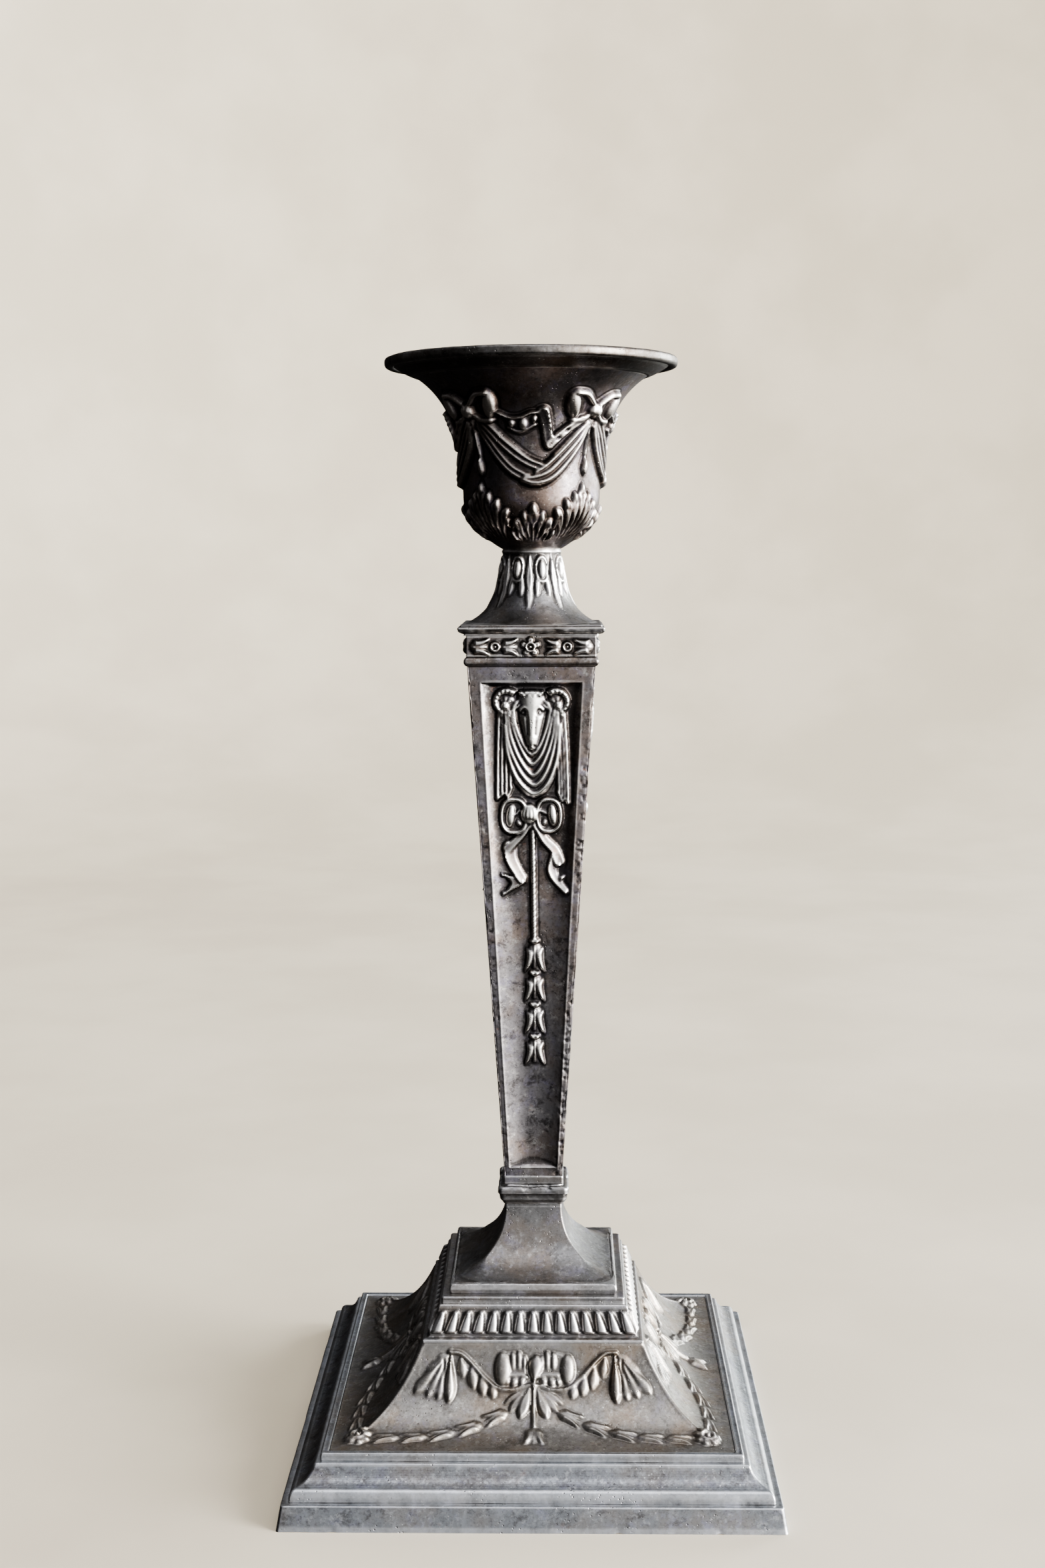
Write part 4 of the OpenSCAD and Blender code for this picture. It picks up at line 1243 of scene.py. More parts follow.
# the neck's foot has rounder corners than its top
row_z = np.vstack([neck_outer, neck_inner])[:, 1:]
low_part = ramp(plinth_top_z + 4.5, plinth_top_z, row_z) * (row_z > plinth_top_z - 0.1)
neck = Ring(neck_outer, neck_inner, corner=0.55 + 5.5 * low_part, flat=130, arc=8)
z = neck.points[..., 2]
# an uneven solder seam between the plinth and the neck
seam = np.exp(-(((z - plinth_top_z + 0.15) / 0.28) ** 2)) * (0.5 + 0.5 * rough(neck.points, 3, 71))
neck.lift(knocks(neck, 67, 0.16, 0.05) * neck.outside)
neck.lift(0.22 * seam * neck.outside)
neck.build("base_neck_sheet", plinth_silver, "stand", "base_neck", 0.08)

# ---------------------------------------------------------------- collar, fillet and column

core_w = 5.0
foot_of_collar_w = neck_top_w + 0.6
collar_outer = np.vstack([
    [(foot_of_collar_w - 0.1, neck_top_z)],
    bulge((collar_w - 0.5, collar_top_z - 4.0), (collar_w, collar_top_z - 2.2), 4),
    bulge((collar_w, collar_top_z - 1.3), (fillet_w + 0.7, collar_top_z - 0.35), 8),
    [
        (fillet_w + 0.35, collar_top_z - 0.5), (fillet_w - 0.1, collar_top_z - 0.3),
        (fillet_w - 0.2, collar_top_z),
    ],
])
collar_inner = [(core_w, collar_top_z), (core_w, neck_top_z)]
collar = Ring(spaced(collar_outer, 0.22), collar_inner, corner=1.4, flat=70, arc=7)
lumps = rough(collar.points, 4, 83)
z = collar.points[..., 2]
live = np.linalg.norm(collar.points[..., :2], axis=-1) > core_w * 1.5
top_edge = np.exp(-(((z - collar_top_z + 0.7) / 0.5) ** 2))
hammered = -0.14 * np.clip(lumps + 0.6, 0, 2) - 0.55 * top_edge * np.clip(lumps, 0, 1)
collar.lift(np.where(live, hammered, 0))
collar.build("column_collar_sheet", plinth_silver, "stand", "column_collar", 0.09)

edge = 0.3
fillet_outer = np.vstack([
    [(fillet_w - 0.15, collar_top_z), (fillet_w, collar_top_z + 0.3)],
    bulge((fillet_w, column_foot_z - edge - 0.3), (fillet_w - edge, column_foot_z), 5),
])
plain_ring(
    "column_fillet", fillet_outer, [(core_w, column_foot_z), (core_w, collar_top_z)], plinth_silver,
    seed=89, step=0.22, corner=0.6, flat=70,
)


def column_half(z):
    share = (z - column_foot_z) / (column_top_z - column_foot_z)
    return column_foot_w + (column_top_w - column_foot_w) * share


SINK = 1.5
PANEL_ROWS = 553
PANEL_COLS = 133
recess_foot_z = column_foot_z + 2.3
recess_top_z = column_top_z - 4.0


def column_ground(x, z):
    """The sunk field inside a plain frame: a wide hollow low down, flatter behind the drapery."""
    w = column_half(z)
    t = (z - column_foot_z) / (column_top_z - column_foot_z)
    margin = 1.4 + 1.8 * t
    side_width = (0.9 - 0.6 * ramp(0.4, 0.7, t)) * (w - margin)
    inward = (w - margin - np.abs(x)) / side_width
    upward = (z - recess_foot_z) / 1.9
    downward = (recess_top_z - z) / 1.5
    d = np.clip(np.minimum(np.minimum(inward, upward), downward), 0, 1)
    depth = SINK * (0.5 * np.sin(math.pi / 2 * d) + 0.5 * (1 - (1 - d) ** 2))
    off_frame = np.minimum(np.minimum(inward * side_width, upward * 1.9), downward * 1.5)
    return 0.1 * np.exp(-((off_frame / 0.28) ** 2)) - depth


def column_panel(node, turn, seed):
    """One face of the column, mitred at both edges and closed behind."""
    rows, cols = PANEL_ROWS, PANEL_COLS
    z = np.repeat(np.linspace(column_foot_z, column_top_z, rows)[:, None], cols, 1)
    share = np.repeat(np.linspace(-1, 1, cols)[None, :], rows, 0)
    x = share * column_half(z)
    plate = Plate(x, z)
    column_ornament(plate)
    raised = blurred(plate.h, 1, (False, False))
    heights = column_ground(x, z) + raised
    base = np.stack([x, -column_half(z), z], -1)
    lean = (column_top_w - column_foot_w) / (column_top_z - column_foot_z)
    out = np.array([0, -1, -lean]) / math.hypot(1, lean)
    spin = Matrix.Rotation(math.radians(turn), 3, "Z")
    world = base @ np.array(spin).T
    margin = column_half(z) - np.abs(x)
    # pitted, knocked edges, worst on one side
    side = np.where(x > 0, 1.0, 0.45)
    patch = ramp(-0.6, 0.2, noise(world * np.array([1, 1, 0.35]), 12, seed))
    pitted = np.clip(rough(world, 1.5, seed + 3, 2), -0.2, 1) * patch * side * ramp(3.0, 1.0, margin)
    heights = heights - 0.3 * pitted - 0.05 * (rough(world, 5, seed + 7) * 0.5 + 0.5)
    hollow = np.clip(rough(world, 16, seed + 11) - 0.3, 0, 1)
    heights = heights - 0.12 * hollow
    # the mitred edge is rounded by wear
    heights = heights - 0.3 * np.exp(-((margin / 0.35) ** 2)) * (0.75 + 0.5 * noise(world, 4, seed + 13))
    top_fade = ramp(0, 0.8, z - column_foot_z) * ramp(0, 0.8, column_top_z - z)
    points = base + out * heights[..., None]
    points[..., 2] = np.where(top_fade < 1, z, points[..., 2])
    normals = np.broadcast_to(out, points.shape)
    real = grid_normals(points, (False, False))
    # fine convexity marks worn edges; broad convexity paints shade round the ornament's foot and a
    # highlight on its crests
    fine = convexity(points, real, 2, (False, False), 0.06)
    broad = convexity(points, normals, 7, (False, False), 0.45)
    wear_and_shade = np.clip(0.7 * fine + 0.6 * broad, -1, 1)
    behind_y = -column_half(z[:, 0]) + SINK + SHEET
    behind_w = column_half(z[:, 0]) - SINK - SHEET
    behind = np.stack(
        [
            np.stack([behind_w, behind_y, z[:, 0]], -1),
            np.stack([np.zeros(rows), behind_y, z[:, 0]], -1),
            np.stack([-behind_w, behind_y, z[:, 0]], -1),
        ],
        1,
    )
    points = np.concatenate([points, behind], 1) @ np.array(spin).T
    layers = {
        "wear_and_shade": np.concatenate([wear_and_shade, np.zeros((rows, 3))], 1),
        "raised": np.concatenate([raised, np.zeros((rows, 3))], 1),
    }
    faces = capped_faces(rows, cols + 3)
    return new_piece(
        node + "_sheet", points, faces, layers, column_silver, "stand", node,
    )


for number, side_name in enumerate(("front", "right", "back", "left")):
    column_panel("column_panel_" + side_name, 90 * number, 101 + 20 * number)

# ---------------------------------------------------------------- capital

astragal_r = (astragal_top_z - column_top_z) / 2
astragal_mid = column_top_z + astragal_r
turns = np.radians(np.linspace(-90, 90, 17))
astragal_outer = np.vstack([
    [(column_top_w - 0.5, column_top_z)],
    np.stack(
        [
            astragal_w - astragal_r + astragal_r * np.cos(turns),
            astragal_mid + astragal_r * np.sin(turns),
        ],
        1,
    ),
    [(frieze_w - 1.0, astragal_top_z)],
])
plain_ring(
    "capital_astragal", astragal_outer, [(core_w + 3, astragal_top_z), (core_w + 3, column_top_z)],
    capital_silver, seed=191, step=0.25, corner=0.7, dents=0.16, flat=150,
)

frieze_mid_z = (astragal_top_z + frieze_top_z) / 2
frieze_outer = spaced([(frieze_w, astragal_top_z), (frieze_w, frieze_top_z)], 0.17)
frieze_inner = [(frieze_w - 1.8, frieze_top_z), (frieze_w - 1.8, astragal_top_z)]
frieze = Ring(frieze_outer, frieze_inner, flat=180, arc=3)
plate = Plate(frieze.x, frieze.points[:, : frieze.side_cols, 2] - frieze_mid_z)
rosette(plate, (-0.2, -0.2), 2.6, 5, 1.05)
for side in (-1, 1):
    flower_cup(plate, (side * 8.0, -0.2), (side * 3.7, -0.2), 2.35, 1.0)
    ring(plate, (side * 9.3, -0.2), 1.0, 1.0, 0.42, 1.05)
    dome(plate, (side * 9.3, -0.2), 0.45, 0.8)
    flower_cup(plate, (side * 15.8, -0.2), (side * 11.0, -0.2), 2.35, 1.0)
relief = blurred(plate.h * frieze.outside, 1, (False, False))
relief = relief * ramp(0, 0.35, frieze.w - np.abs(frieze.x))
frieze.lift(frieze.tiled(relief), True)
frieze.lift(knocks(frieze, 197, 0.08, 0.03) * frieze.outside)
frieze.build("capital_frieze_sheet", capital_silver, "stand", "capital_frieze", 0.07)

under_w = frieze_w + 0.6
wide_z = frieze_top_z + 1.4
abacus_outer = np.vstack([
    [(under_w, frieze_top_z)],
    bend((under_w, frieze_top_z + 0.3), (abacus_w, frieze_top_z + 0.5), (abacus_w, wide_z), 8),
    bulge((abacus_w, wide_z + 0.3), (abacus_w - 0.5, wide_z + 0.9), 4),
    [
        (abacus_w - 0.65, wide_z + 0.85), (abacus_w - 0.7, abacus_top_z - 0.05),
        (abacus_w - 0.8, abacus_top_z), (trumpet_foot_r - 3, abacus_top_z),
    ],
])
abacus_outer = spaced(abacus_outer, 0.28)
abacus_inner = [(core_w, abacus_top_z), (core_w, frieze_top_z)]
abacus = Ring(abacus_outer, abacus_inner, corner=0.5, flat=160, arc=5)
p = abacus.points
# leaf tips and lumps stamped under the edge, half worn away
z = p[..., 2]
under = ramp(frieze_top_z + 0.1, frieze_top_z + 0.6, z) * ramp(wide_z + 0.6, wide_z - 0.1, z)
lumps = np.clip(rough(p * np.array([1, 1, 0.6]), 2.2, 211, 2), -0.5, 0.8)
abacus.lift((knocks(abacus, 203, 0.1, 0.04) - 0.22 * under * (0.5 + lumps)) * abacus.outside)
abacus.build("capital_abacus_sheet", capital_silver, "stand", "capital_abacus", 0.07)

# ---------------------------------------------------------------- trumpet neck


def neck_leaves(plate, count, mean_r):
    """Eggs and pointed leaves hanging round the neck."""
    pitch = 2 * math.pi * mean_r / count
    for i in range(-count // 2 - 1, count // 2 + 2):
        at = (i + 0.42) * pitch
        for lean in (-1, 1):
            petal(plate, (at + lean * 1.15, 236.4), 270 + lean * 3, 7.2, 1.5, 0.75, 0.62, 0.2)
        ring(plate, (at, 236.1), 1.6, 3.2, 0.3, 0.75, 2.2)
        dome(plate, (at, 236.1), 1.15, 1.25, 2.4, 90)
        petal(plate, (at + pitch / 2, 240.3), 270, 10.6, 2.1, 1.0, 0.62, 0.3)
        petal(plate, (at + pitch / 2, 234.5), 270, 8.6, 1.5, 0.6, 0.5, 0.4)


trumpet_line = bend(
    (trumpet_foot_r, abacus_top_z), (trumpet_top_r, abacus_top_z + 4.2), (trumpet_top_r, trumpet_top_z),
    40,
)
trumpet_outer = spaced(trumpet_line, 0.3)
trumpet_inner = [
    (trumpet_top_r - 1.05, trumpet_top_z), (trumpet_top_r - 0.6, trumpet_top_z - 9),
    (trumpet_top_r + 2.0, abacus_top_z + 2.6), (trumpet_foot_r - 2.6, abacus_top_z + 0.1),
    (trumpet_foot_r - 1.2, abacus_top_z),
]
trumpet = Ring(trumpet_outer, trumpet_inner, square=False, flat=260)
leaf_r = 8.4
plate = Plate(np.radians(trumpet.angle) * leaf_r, trumpet.points[..., 2])
neck_leaves(plate, 8, leaf_r)
trumpet.lift(blurred(plate.h * trumpet.outside, 1, (False, True)), True)
top_ring = 0.3 * np.exp(-(((trumpet.points[..., 2] - trumpet_top_z + 0.7) / 0.45) ** 2))
trumpet.lift(top_ring * trumpet.outside)
trumpet.lift(knocks(trumpet, 223, 0.12, 0.04) * trumpet.outside)
trumpet.build("trumpet_neck_sheet", neck_silver, "stand", "trumpet_neck", 0.07)

# ---------------------------------------------------------------- urn


def urn_swag(plate):
    """Between two bows: a broad bundle of cloth from the right, over folds from the left."""
    left = (
        [(-12.6, 274.8), (-10.2, 272.9), (-6.8, 269.1), (-1.6, 264.6), (2.2, 262.8), (4.2, 262.4)],
        [(-12.8, 274.2), (-10.3, 271.2), (-6.9, 267.3), (-3.2, 264.1), (0.4, 262.1), (3.4, 261.6)],
        [(-13.0, 273.4), (-10.6, 269.6), (-8.0, 265.7), (-5.0, 262.3), (-1.6, 260.4), (1.6, 260.3)],
        [(-13.2, 272.6), (-10.9, 268.0), (-8.5, 264.4), (-5.7, 261.3), (-2.7, 259.4), (-0.4, 259.0)],
    )
    right = (
        [(13.4, 273.9), (11.2, 270.9), (7.0, 266.0), (3.4, 262.4), (1.0, 260.8)],
        [(13.6, 273.4), (11.6, 269.2), (7.6, 264.4), (4.0, 260.9), (0.4, 259.5), (-1.8, 259.6)],
        [(13.9, 272.6), (12.0, 267.7), (8.4, 262.7), (4.6, 259.2), (0.8, 258.1), (-2.2, 258.9)],
    )
    lines = [curve(points, 6) for points in left]
    cloth(plate, np.vstack([lines[0], lines[-1][::-1]]), 0.8, 0.7)
    for line in lines:
        fold(plate, line, 0.85, 1.05, 0.6, (0.75, 1.0))
    lines = [curve(points, 6) for points in right]
    body = np.vstack([lines[0], lines[-1][::-1]])

    def pressed(x, y):
        """The folds from the left are pressed flat under the bundle and a little past it."""
        inside, d = within(body, x, y)
        return 0 * x + 0.5, ramp(0.35, 0.05, np.where(inside, 0, d))

    plate.cover(pressed, box_of(body, 0.4))
    cloth(plate, body, 1.0, 0.7)
    for line, r in zip(lines, (0.8, 1.25, 1.0)):
        fold(plate, line, r, 1.15, 0.75, (0.8, 1.0))


def urn_bow(plate, at):
    """A bow at the head of each hanging fold, with a tassel and two long falls under it."""
    cx, cy = at
    for side in (-1, 1):
        hollow = [
            (cx + side * 1, cy + 2.0), (cx + side * 3.2, cy + 4.3), (cx + side * 6.2, cy + 4.4),
            (cx + side * 7.4, cy - 0.8), (cx + side * 5.4, cy - 3.2), (cx + side * 1.2, cy - 1.4),
        ]
        cloth(plate, hollow, 0.5, 0.5)
        dome(plate, (cx + side * 5.6, cy + 1.0), 1.65, 2.0, 2.2, 90 - side * 8)
        for line, r, height in (
            ([(5.6, 4.2), (3.4, 3.9), (1.1, 1.8)], 0.75, 1.6),
            ([(5.2, -2.6), (3.0, -2.4), (1.2, -1.0)], 0.9, 1.5),
        ):
            wire(plate, curve([(cx + side * a, cy + b) for a, b in line]), r, height)
    dome(plate, at, 1.9, 2.6, 1.1, 90)
    groove(plate, [(cx - 0.5, cy + 1.6), (cx - 0.65, cy - 1.6)], 0.25, 0.4)
    wire(plate, [(cx + 0.1, cy - 2), (cx + 0.3, cy - 11.2)], 0.4, 1.0)
    petal(plate, (cx + 0.3, cy - 10.6), 271, 5.9, 2.0, 1.5, 0.7, 0.15)


def urn_ribbon(plate):
    """A loose end that flutters in the space over the swag."""
    under = [(-7.0, 275.4), (-2.5, 274.3), (1.0, 275.6), (1.2, 272.8), (-2.7, 270.7), (-5.3, 272.0)]
    cloth(plate, under, 0.6, 0.5)
    for x, y, r, tall in ((-4.5, 273.2, 0.7, 1.9), (-1.9, 272.9, 1.15, 1.55), (0.6, 274.0, 0.65, 1.9)):
        dome(plate, (x, y), r, 1.35, tall, 90)
    hem = [(-7.4, 275.8), (-5.0, 274.6), (-2.5, 274.6), (0.0, 275.7), (2.1, 275.6)]
    wire(plate, curve(hem), 0.45, 1.35)
    wire(plate, curve([(-5.4, 272.0), (-2.7, 270.8), (0.9, 272.6)]), 0.35, 0.9)
    ribbon(plate, curve([(2.5, 275.8), (3.3, 272.4), (4.0, 268.0)]), (2.7, 2.3), (0.9, 1.5))
    wire(plate, curve([(3.5, 275.2), (4.3, 272.0), (4.9, 268.4)]), 0.35, 1.65)
    end = [(4.2, 267.6), (6.4, 269.9), (9.0, 272.2), (11.6, 274.2)]
    ribbon(plate, curve(end), (2.2, 2.0), (1.25, 1.5))
    for x, y in ((6.3, 269.5), (8.2, 271.5)):
        dimple(plate, (x, y), 0.4, 0.6, 1.8, 45)


def urn_leaves(plate, quarter):
    """Acanthus round the bowl: a tall leaf under each bow, and a low one between."""
    for centre, tips in (
        (-quarter / 2, (257.9, 255.6, 253.8, 251.4)), (quarter / 2, (257.9, 255.6, 253.8, 251.4)),
        (0.4, (252.5, 250.4, 248.6)),
    ):
        for i, tip in enumerate(tips):
            for side in (-1, 1) if i else (1,):
                end = (centre + side * 2.45 * i, tip)
                root = (centre + side * 1.1 * i, 243.0)
                angle = math.degrees(math.atan2(end[1] - root[1], end[0] - root[0]))
                petal(plate, root, angle, math.dist(root, end) + 0.6, 2.7, 1.1, 0.78, 0.3)
                dome(plate, (end[0], end[1] - 1.0), 0.8, 1.15, 2.0, angle)
                for lean in (-1, 1):
                    bud = (end[0] + lean * 1.0, end[1] - 3.0)
                    petal(
                        plate, (bud[0] - lean * 0.7, bud[1] - 2.2), angle - lean * 18, 3.6, 1.2, 1.0,
                        0.7, 0.0,
                    )


bowl_top_z = trumpet_top_z + 14
flare_z = lip_z - 16
belly_r = 18.1
urn_line = np.vstack([
    bend(
        (trumpet_top_r + 0.2, trumpet_top_z), (belly_r, trumpet_top_z + 6), (belly_r - 0.1, bowl_top_z),
        40,
    ),
    bend((belly_r, bowl_top_z + 3), (belly_r + 0.1, flare_z - 5), (belly_r + 1.6, flare_z), 24),
    bend((belly_r + 1.9, flare_z + 1.2), (lip_r - 7.7, lip_z - 5.1), (lip_r, lip_z), 30),
])
urn_outer = spaced(urn_line, 0.28)
urn_inner = np.vstack([
    [(lip_r - 1.3, lip_z - 0.05)],
    bend((lip_r - 1.6, lip_z - 0.5), (lip_r - 8.4, lip_z - 6.0), (belly_r + 0.7, flare_z + 0.8), 8),
    [
        (belly_r - 1.0, flare_z - 5), (belly_r - 1.1, urn_floor_z + 5), (belly_r - 3.4, urn_floor_z),
        (rod_r + 2, urn_floor_z), (rod_r, urn_floor_z), (rod_r, trumpet_top_z),
        (rod_r + 3, trumpet_top_z),
    ],
])
urn = Ring(urn_outer, urn_inner, square=False, flat=480)
drawn_r = 18.6
quarter = 90.0
local = np.mod(urn.angle - 1.0 + quarter / 2, quarter) - quarter / 2
plate = Plate(np.radians(local) * drawn_r, urn.points[..., 2])
knot_x = math.radians(quarter / 2) * drawn_r
urn_leaves(plate, 2 * knot_x)
urn_swag(plate)
urn_ribbon(plate)
for side in (-1, 1):
    urn_bow(plate, (side * knot_x, 276.6))
relief = blurred(plate.h * urn.outside, 1, (False, True))
urn.lift(relief * ramp(lip_z - 1, lip_z - 4, urn.points[..., 2]), True)
urn.lift(knocks(urn, 241, 0.18, 0.05) * urn.outside)
urn.build("urn_sheet", urn_silver, "stand", "urn_shell", 0.07)

# ---------------------------------------------------------------- socket liner and nozzle

liner_outline = [
    (liner_r, urn_floor_z), (liner_r, liner_top_z - 0.25), (liner_r - 0.25, liner_top_z),
    (liner_r - 0.7, liner_top_z), (liner_r - SHEET, liner_top_z - 0.3), (liner_r - SHEET, urn_floor_z),
]
liner = Ring(spaced(liner_outline + liner_outline[:1], 0.6)[:-1], square=False, flat=140)
liner.lift(knocks(liner, 257, 0.02, 0.02))
liner.build("socket_liner_sheet", urn_silver, "stand", "socket_liner", 0.08)

pan_in_r = tube_r
throat_z = tube_top_z - SHEET * 0.5
seat_r = lip_r - 1.6
wire_r = (rim_top_z - rim_low_z) / 2
wire_mid_r = rim_r - wire_r
wire_mid_z = rim_low_z + wire_r
pan_edge_z = wire_mid_z - 0.85
under_line = np.vstack([
    [(pan_in_r + 0.02, throat_z), (pan_in_r + 0.6, throat_z)],
    curve([(pan_in_r + 0.6, throat_z), (20, lip_z - 1.9), (seat_r, lip_z)], 8)[1:],
    [(lip_r + 0.5, lip_z)],
    bend((lip_r + 0.5, lip_z), (pan_r - 2.5, lip_z + 0.9), (pan_r - 0.1, pan_edge_z), 8)[1:],
])
top_line = under_line[::-1] + np.array([0.0, SHEET])
pan = Ring(spaced(under_line, 0.5), spaced(top_line, 0.5), square=False, flat=220)
p = pan.points
r = np.hypot(p[..., 0], p[..., 1])
# wax cleaned out with a knife left faint rings and scratches inside the pan
faces_up = pan.normals[..., 2] > 0
circles = 0.03 * np.sin(r * 2.6 + 0.4 * noise(p, 9, 263)) * faces_up
pan.lift(circles - 0.1 * np.clip(rough(p, 8, 269) - 0.3, 0, 1) * faces_up)
pan.build("nozzle_pan_sheet", pan_silver, "nozzle", "nozzle_pan", 0.08)

wire_line = squarish((wire_mid_r, wire_mid_z), wire_r, wire_r, 0.72, 28, -math.pi / 2)
rim_wire = Ring(wire_line, square=False, flat=360)
p = rim_wire.points
hollow = np.clip(rough(p, 11, 277) - 0.25, 0, 1)
nick = np.clip(noise(p, 1.9, 281) - 0.6, 0, 1)
rim_wire.lift(-0.01 - 0.16 * hollow - 0.3 * nick - 0.05 * (rough(p, 5, 283) * 0.5 + 0.5))
rim_wire.build("nozzle_rim_wire_round", pan_silver, "nozzle", "nozzle_rim_wire", 0.1)

bore_r = tube_r - 0.8
tube_floor_top = tube_floor_z + 0.8
tube_outline = spaced(
    [
        (tube_r - 0.4, tube_floor_z), (tube_r, tube_floor_z + 0.4), (tube_r, tube_top_z - 0.1),
        (tube_r - 0.12, tube_top_z), (bore_r + 0.1, tube_top_z), (bore_r, tube_top_z - 0.1),
        (bore_r, tube_floor_top + 0.3), (bore_r - 0.3, tube_floor_top), (0.6, tube_floor_top),
    ],
    0.7,
)
# the last point closes the outline under the floor, which is flat and needs no points of its own
tube = Ring(tube_outline, [(0.6, tube_floor_z)], square=False, flat=120)
p = tube.points[:-1]
p = p - tube.normals[:-1] * (0.03 * (rough(p, 5, 293) * 0.5 + 0.5))[..., None]
faces = capped_faces(*p.shape[:2])
new_piece(
    "nozzle_tube_sheet", p, faces, unworn(p), pan_silver, "nozzle", "nozzle_tube",
)

# ---------------------------------------------------------------- hidden parts keep their CAD shape


def give(node, material):
    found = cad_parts[node]
    found.data.materials.clear()
    found.data.materials.append(material)


look = Look("rusty_iron")
rust = look.noise(3.0, 6, 0.7)
fine = look.noise(0.5, 4, 0.7)
color = look.mix(look.span(rust, 0.42, 0.62), (0.05, 0.045, 0.04), (0.16, 0.065, 0.03))
color = look.coat(color, look.span(fine, 0.5, 0.7), 0.5, (0.24, 0.11, 0.05))
iron = look.finish(color, look.span(rust, 0.3, 0.7, 0.5, 0.85), look.bump(fine, 0.06, 0.8), 0.6)

look = Look("pitch_and_plaster")
lump = look.noise(4.0, 6, 0.65)
fine = look.noise(0.6, 4, 0.7)
color = look.mix(look.span(lump, 0.4, 0.62), (0.055, 0.038, 0.028), (0.17, 0.13, 0.10))
color = look.coat(color, look.span(fine, 0.55, 0.7), 0.5, (0.3, 0.26, 0.22))
pitch = look.finish(
    color, look.span(lump, 0.3, 0.7, 0.45, 0.85), look.bump(fine, 0.1, 0.7, look.bump(lump, 0.3, 0.7)),
)

look = Look("beech_board")
grain = look.noise(1.6, 5, 0.6, stretch=(1.0, 0.05, 1.0))
broad = look.noise(14, 3, 0.5, stretch=(1.0, 0.2, 1.0))
color = look.mix(look.span(grain, 0.35, 0.65), (0.42, 0.27, 0.15), (0.24, 0.14, 0.075))
color = look.coat(color, look.span(broad, 0.45, 0.65), 0.5, (0.16, 0.09, 0.05))
wood = look.finish(color, look.span(grain, 0.3, 0.7, 0.55, 0.75), look.bump(grain, 0.08, 0.7))

for node_name in ("tie_rod", "tie_nut_top", "tie_nut_bottom"):
    give(node_name, iron)
for node_name in ("base_loading", "column_core"):
    give(node_name, pitch)
give("base_board", wood)
give("socket_floor", iron)
give("column_diaphragm", capital_silver)

look = Look("green_baize")
nap = look.noise(0.5, 5, 0.75)
worn = look.noise(16, 4, 0.6)
fibre = look.noise(1.1, 4, 0.8, stretch=(1.0, 0.3, 1.0), distortion=1.5)
color = look.mix(look.span(nap, 0.35, 0.65), (0.03, 0.105, 0.055), (0.065, 0.2, 0.11))
color = look.coat(color, look.span(worn, 0.5, 0.68), 0.55, (0.2, 0.24, 0.15))
baize_look = look.finish(color, 0.95, look.bump(fibre, 0.18, 0.8, look.bump(nap, 0.12, 0.9)))
look.shader.inputs["Sheen Weight"].default_value = 0.35
look.shader.inputs["Sheen Roughness"].default_value = 0.5


def baize_cloth():
    """The felted cloth glued under the board, with a soft cut edge."""
    low, high = node_mm("baize_pad")
    w = high[0]
    outline = spaced(
        [
            (1.0, low[2]), (w - 0.5, low[2]), (w, low[2] + 0.35), (w, high[2] - 0.1),
            (w - 0.1, high[2]), (1.0, high[2]),
        ],
        1.6,
    )
    pad = Ring(outline, corner=1.2, flat=76)
    p = pad.points
    pad.lift(-0.06 * (rough(p, 2.0, 307) * 0.5 + 0.5) - 0.08 * (noise(p, 9, 311) * 0.5 + 0.5))
    pad.points[..., 2] = np.clip(pad.points[..., 2], low[2], high[2])
    faces = capped_faces(*pad.raised.shape)
    return new_piece(
        "baize_cloth", pad.points, faces, unworn(p), baize_look, "stand", "baize_pad",
    )


baize_cloth()

# ---------------------------------------------------------------- floor, light and camera

FLOOR_R = 0.95
WALL_R = 1.6
WALL_H = 1.7
MIDDLE = (0.0, 0.0, 0.14)


look = Look("pale_plaster")
soft = look.noise(160, 4, 0.55)
tooth = look.noise(2.5, 3, 0.6)
color = look.mix(look.span(soft, 0.35, 0.65), (0.60, 0.555, 0.475), (0.66, 0.615, 0.53))
plaster = look.finish(color, 0.9, look.bump(tooth, 0.05, 0.25))


def revolved(name, outline):
    """A part of the stage turned round the axis, in metres, seen from inside."""
    steps = 64
    angle = np.linspace(0, 2 * math.pi, steps, endpoint=False)
    r, z = np.array(outline).T
    points = np.stack(
        [r[:, None] * np.sin(angle), -r[:, None] * np.cos(angle), z[:, None] + 0 * angle], -1,
    )
    faces = grid_faces(len(r), steps, (False, True))[:, ::-1].tolist()
    made = new_object(name, points, faces, plaster)
    made.visible_glossy = False
    return made


revolved("floor", [(0.001, 0.0), (0.3, 0.0), (FLOOR_R, 0.0)])
wall_line = np.vstack([bend((FLOOR_R, 0.0), (WALL_R, 0.0), (WALL_R, 0.6), 16), [(WALL_R, WALL_H)]])
wall = revolved("backdrop", wall_line)
wall.visible_shadow = False


def soft_box(name, at, size, watts, tint):
    """A lamp with a wide flat face, turned to the middle of the candlestick."""
    data = bpy.data.lights.new(name, "AREA")
    data.shape = "RECTANGLE"
    data.size, data.size_y = size
    data.energy = watts
    data.color = tint
    lamp = bpy.data.objects.new(name, data)
    lamp.location = at
    lamp.rotation_euler = (Vector(MIDDLE) - Vector(at)).to_track_quat("-Z", "Y").to_euler()
    lamp.visible_camera = False
    bpy.context.scene.collection.objects.link(lamp)
    return lamp


soft_box("window", (2.156, -0.924, 0.756), (0.99, 1.65), 97, (1.0, 0.98, 0.95))
soft_box("ceiling", (0.1, -0.25, 1.15), (0.9, 0.7), 3, (0.96, 0.97, 1.0))
soft_box("back", (1.87, 1.43, 0.602), (1.1, 1.1), 34, (0.95, 1.0, 0.99))

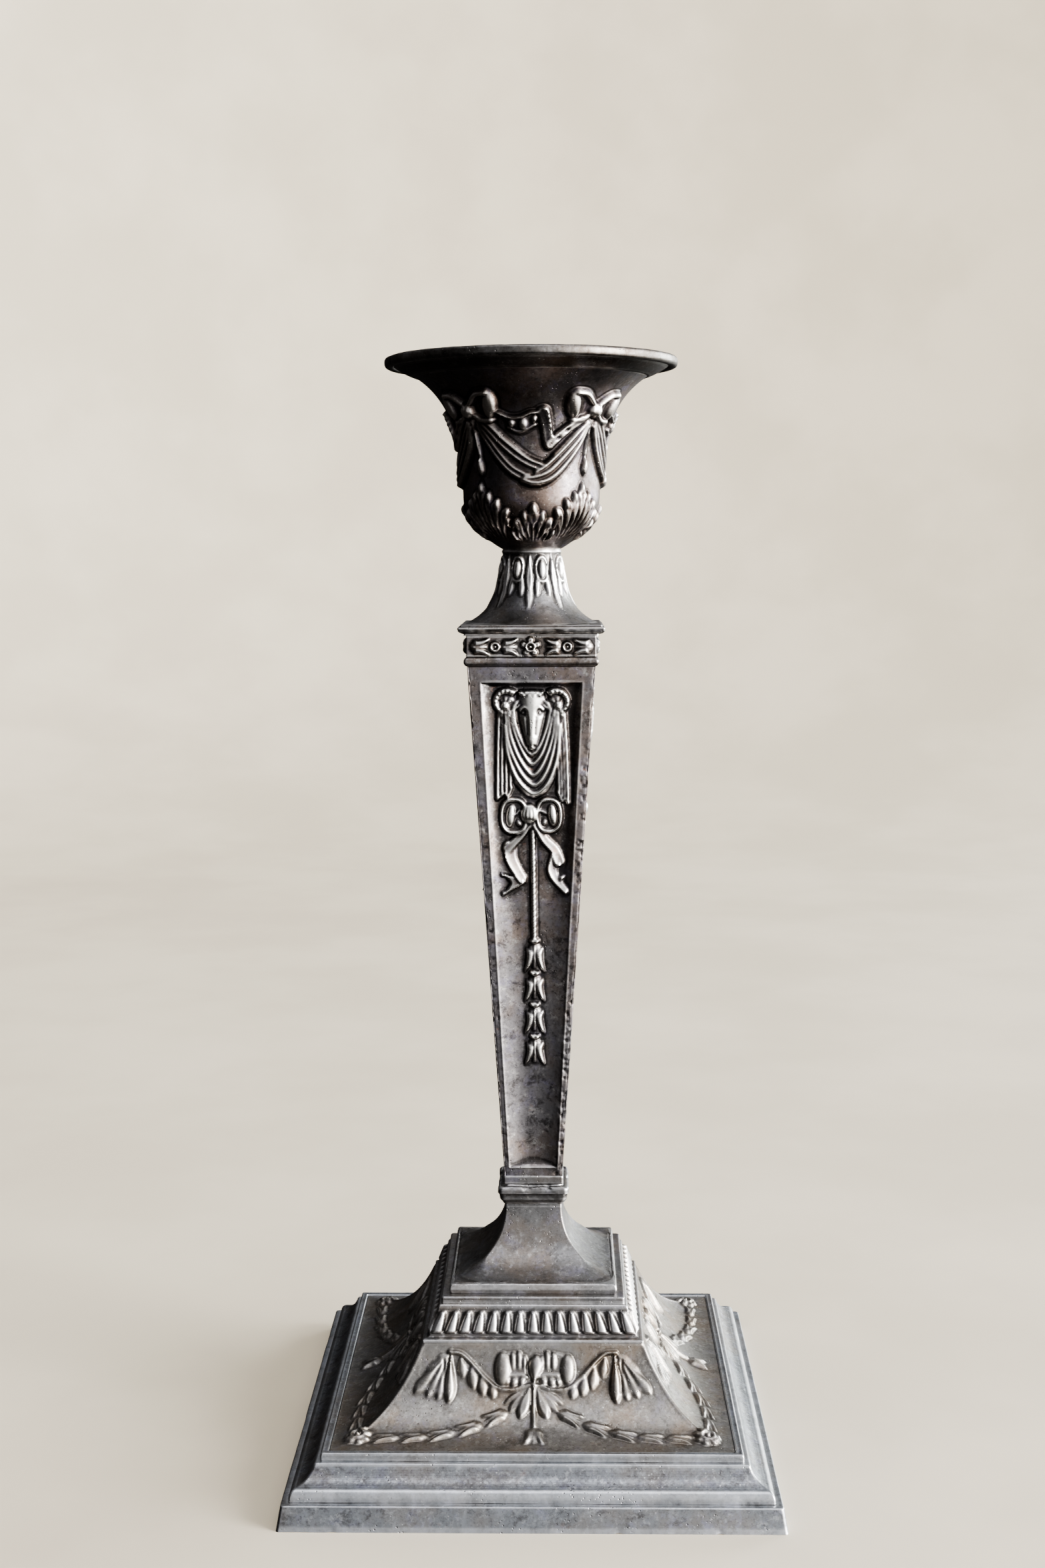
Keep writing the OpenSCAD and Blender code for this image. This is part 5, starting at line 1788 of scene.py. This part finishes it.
world = bpy.data.worlds.new("room")
bpy.context.scene.world = world
world.use_nodes = True
nodes, links = world.node_tree.nodes, world.node_tree.links
nodes.clear()
toward = nodes.new("ShaderNodeTexCoord").outputs["Generated"]
split = nodes.new("ShaderNodeSeparateXYZ")
links.new(toward, split.inputs[0])


def fade(value, low, high, strength=None):
    """A soft step from 0 to 1, or to another node's strength."""
    step = nodes.new("ShaderNodeMapRange")
    step.interpolation_type = "SMOOTHSTEP"
    links.new(value, step.inputs["Value"])
    step.inputs["From Min"].default_value = low
    step.inputs["From Max"].default_value = high
    if strength is not None:
        links.new(strength, step.inputs["To Max"])
    return step.outputs["Result"]


def soft_patch(below, direction, wide, narrow, color, horizon=None):
    """Adds a bright part of the room: full within narrow degrees of a direction, none past wide.

    The horizon gives the two heights between which it fades out downward.
    """
    dot = nodes.new("ShaderNodeVectorMath")
    dot.operation = "DOT_PRODUCT"
    links.new(toward, dot.inputs[0])
    dot.inputs[1].default_value = Vector(direction).normalized()
    strength = None if horizon is None else fade(split.outputs["Z"], *horizon)
    edges = [math.cos(math.radians(angle)) for angle in (wide, narrow)]
    add = nodes.new("ShaderNodeMix")
    add.data_type = "RGBA"
    add.blend_type = "ADD"
    links.new(fade(dot.outputs["Value"], *edges, strength), add.inputs[0])
    if isinstance(below, tuple):
        add.inputs[6].default_value = (*below, 1)
    else:
        links.new(below, add.inputs[6])
    add.inputs[7].default_value = (*color, 1)
    return add.outputs[2]


# what the metal reflects: a bright side on the right, dim in front and behind, dark on the left
room = (0.028, 0.026, 0.025)
for patch in (
    ((0.35, -0.3, 1), 65, 25, (0.36, 0.37, 0.4)),
    ((0.95, -0.35, 0.0), 60, 22, (2.7, 2.65, 2.55), (-0.75, -0.35)),
    ((0.2, -1, -0.05), 60, 15, (0.48, 0.485, 0.5), (-0.65, -0.25)),
    ((0.8, 0.6, -0.05), 52, 20, (0.8, 0.83, 0.81), (-0.8, -0.3)),
    ((0.55, 1, 0.5), 42, 15, (0.34, 0.35, 0.36), (-0.1, 0.15)),
    ((-0.9, 0.1, 0.3), 40, 15, (0.07, 0.07, 0.075), (-0.1, 0.1)),
    ((-0.6, 0.75, 0.7), 50, 15, (0.14, 0.142, 0.148), (0.3, 0.55)),
):
    room = soft_patch(room, *patch)
sky = nodes.new("ShaderNodeBackground")
links.new(room, sky.inputs["Color"])
sky.inputs["Strength"].default_value = 1.0
end = nodes.new("ShaderNodeOutputWorld")
links.new(sky.outputs[0], end.inputs[0])

# the viewpoint of a person seated at the table, in front of the candlestick
CAMERA_AT = Vector((0.0068, -0.51712, 0.24208))
CAMERA_YAW = 1.049
CAMERA_PITCH = 6.976
CAMERA_ROLL = -0.227
LENS = 44.593
camera_data = bpy.data.cameras.new("camera")
camera_data.sensor_width = 36.0
camera_data.lens = LENS
camera_data.clip_start = 0.01
camera = bpy.data.objects.new("camera", camera_data)
viewpoint = Matrix.Translation(CAMERA_AT)
for angle, axis in ((CAMERA_YAW, "Z"), (90 - CAMERA_PITCH, "X"), (CAMERA_ROLL, "Z")):
    viewpoint = viewpoint @ Matrix.Rotation(math.radians(angle), 4, axis)
camera.matrix_world = viewpoint
bpy.context.scene.collection.objects.link(camera)
bpy.context.scene.camera = camera
bpy.context.scene.view_settings.view_transform = "AgX"
bpy.context.scene.view_settings.look = "AgX - High Contrast"
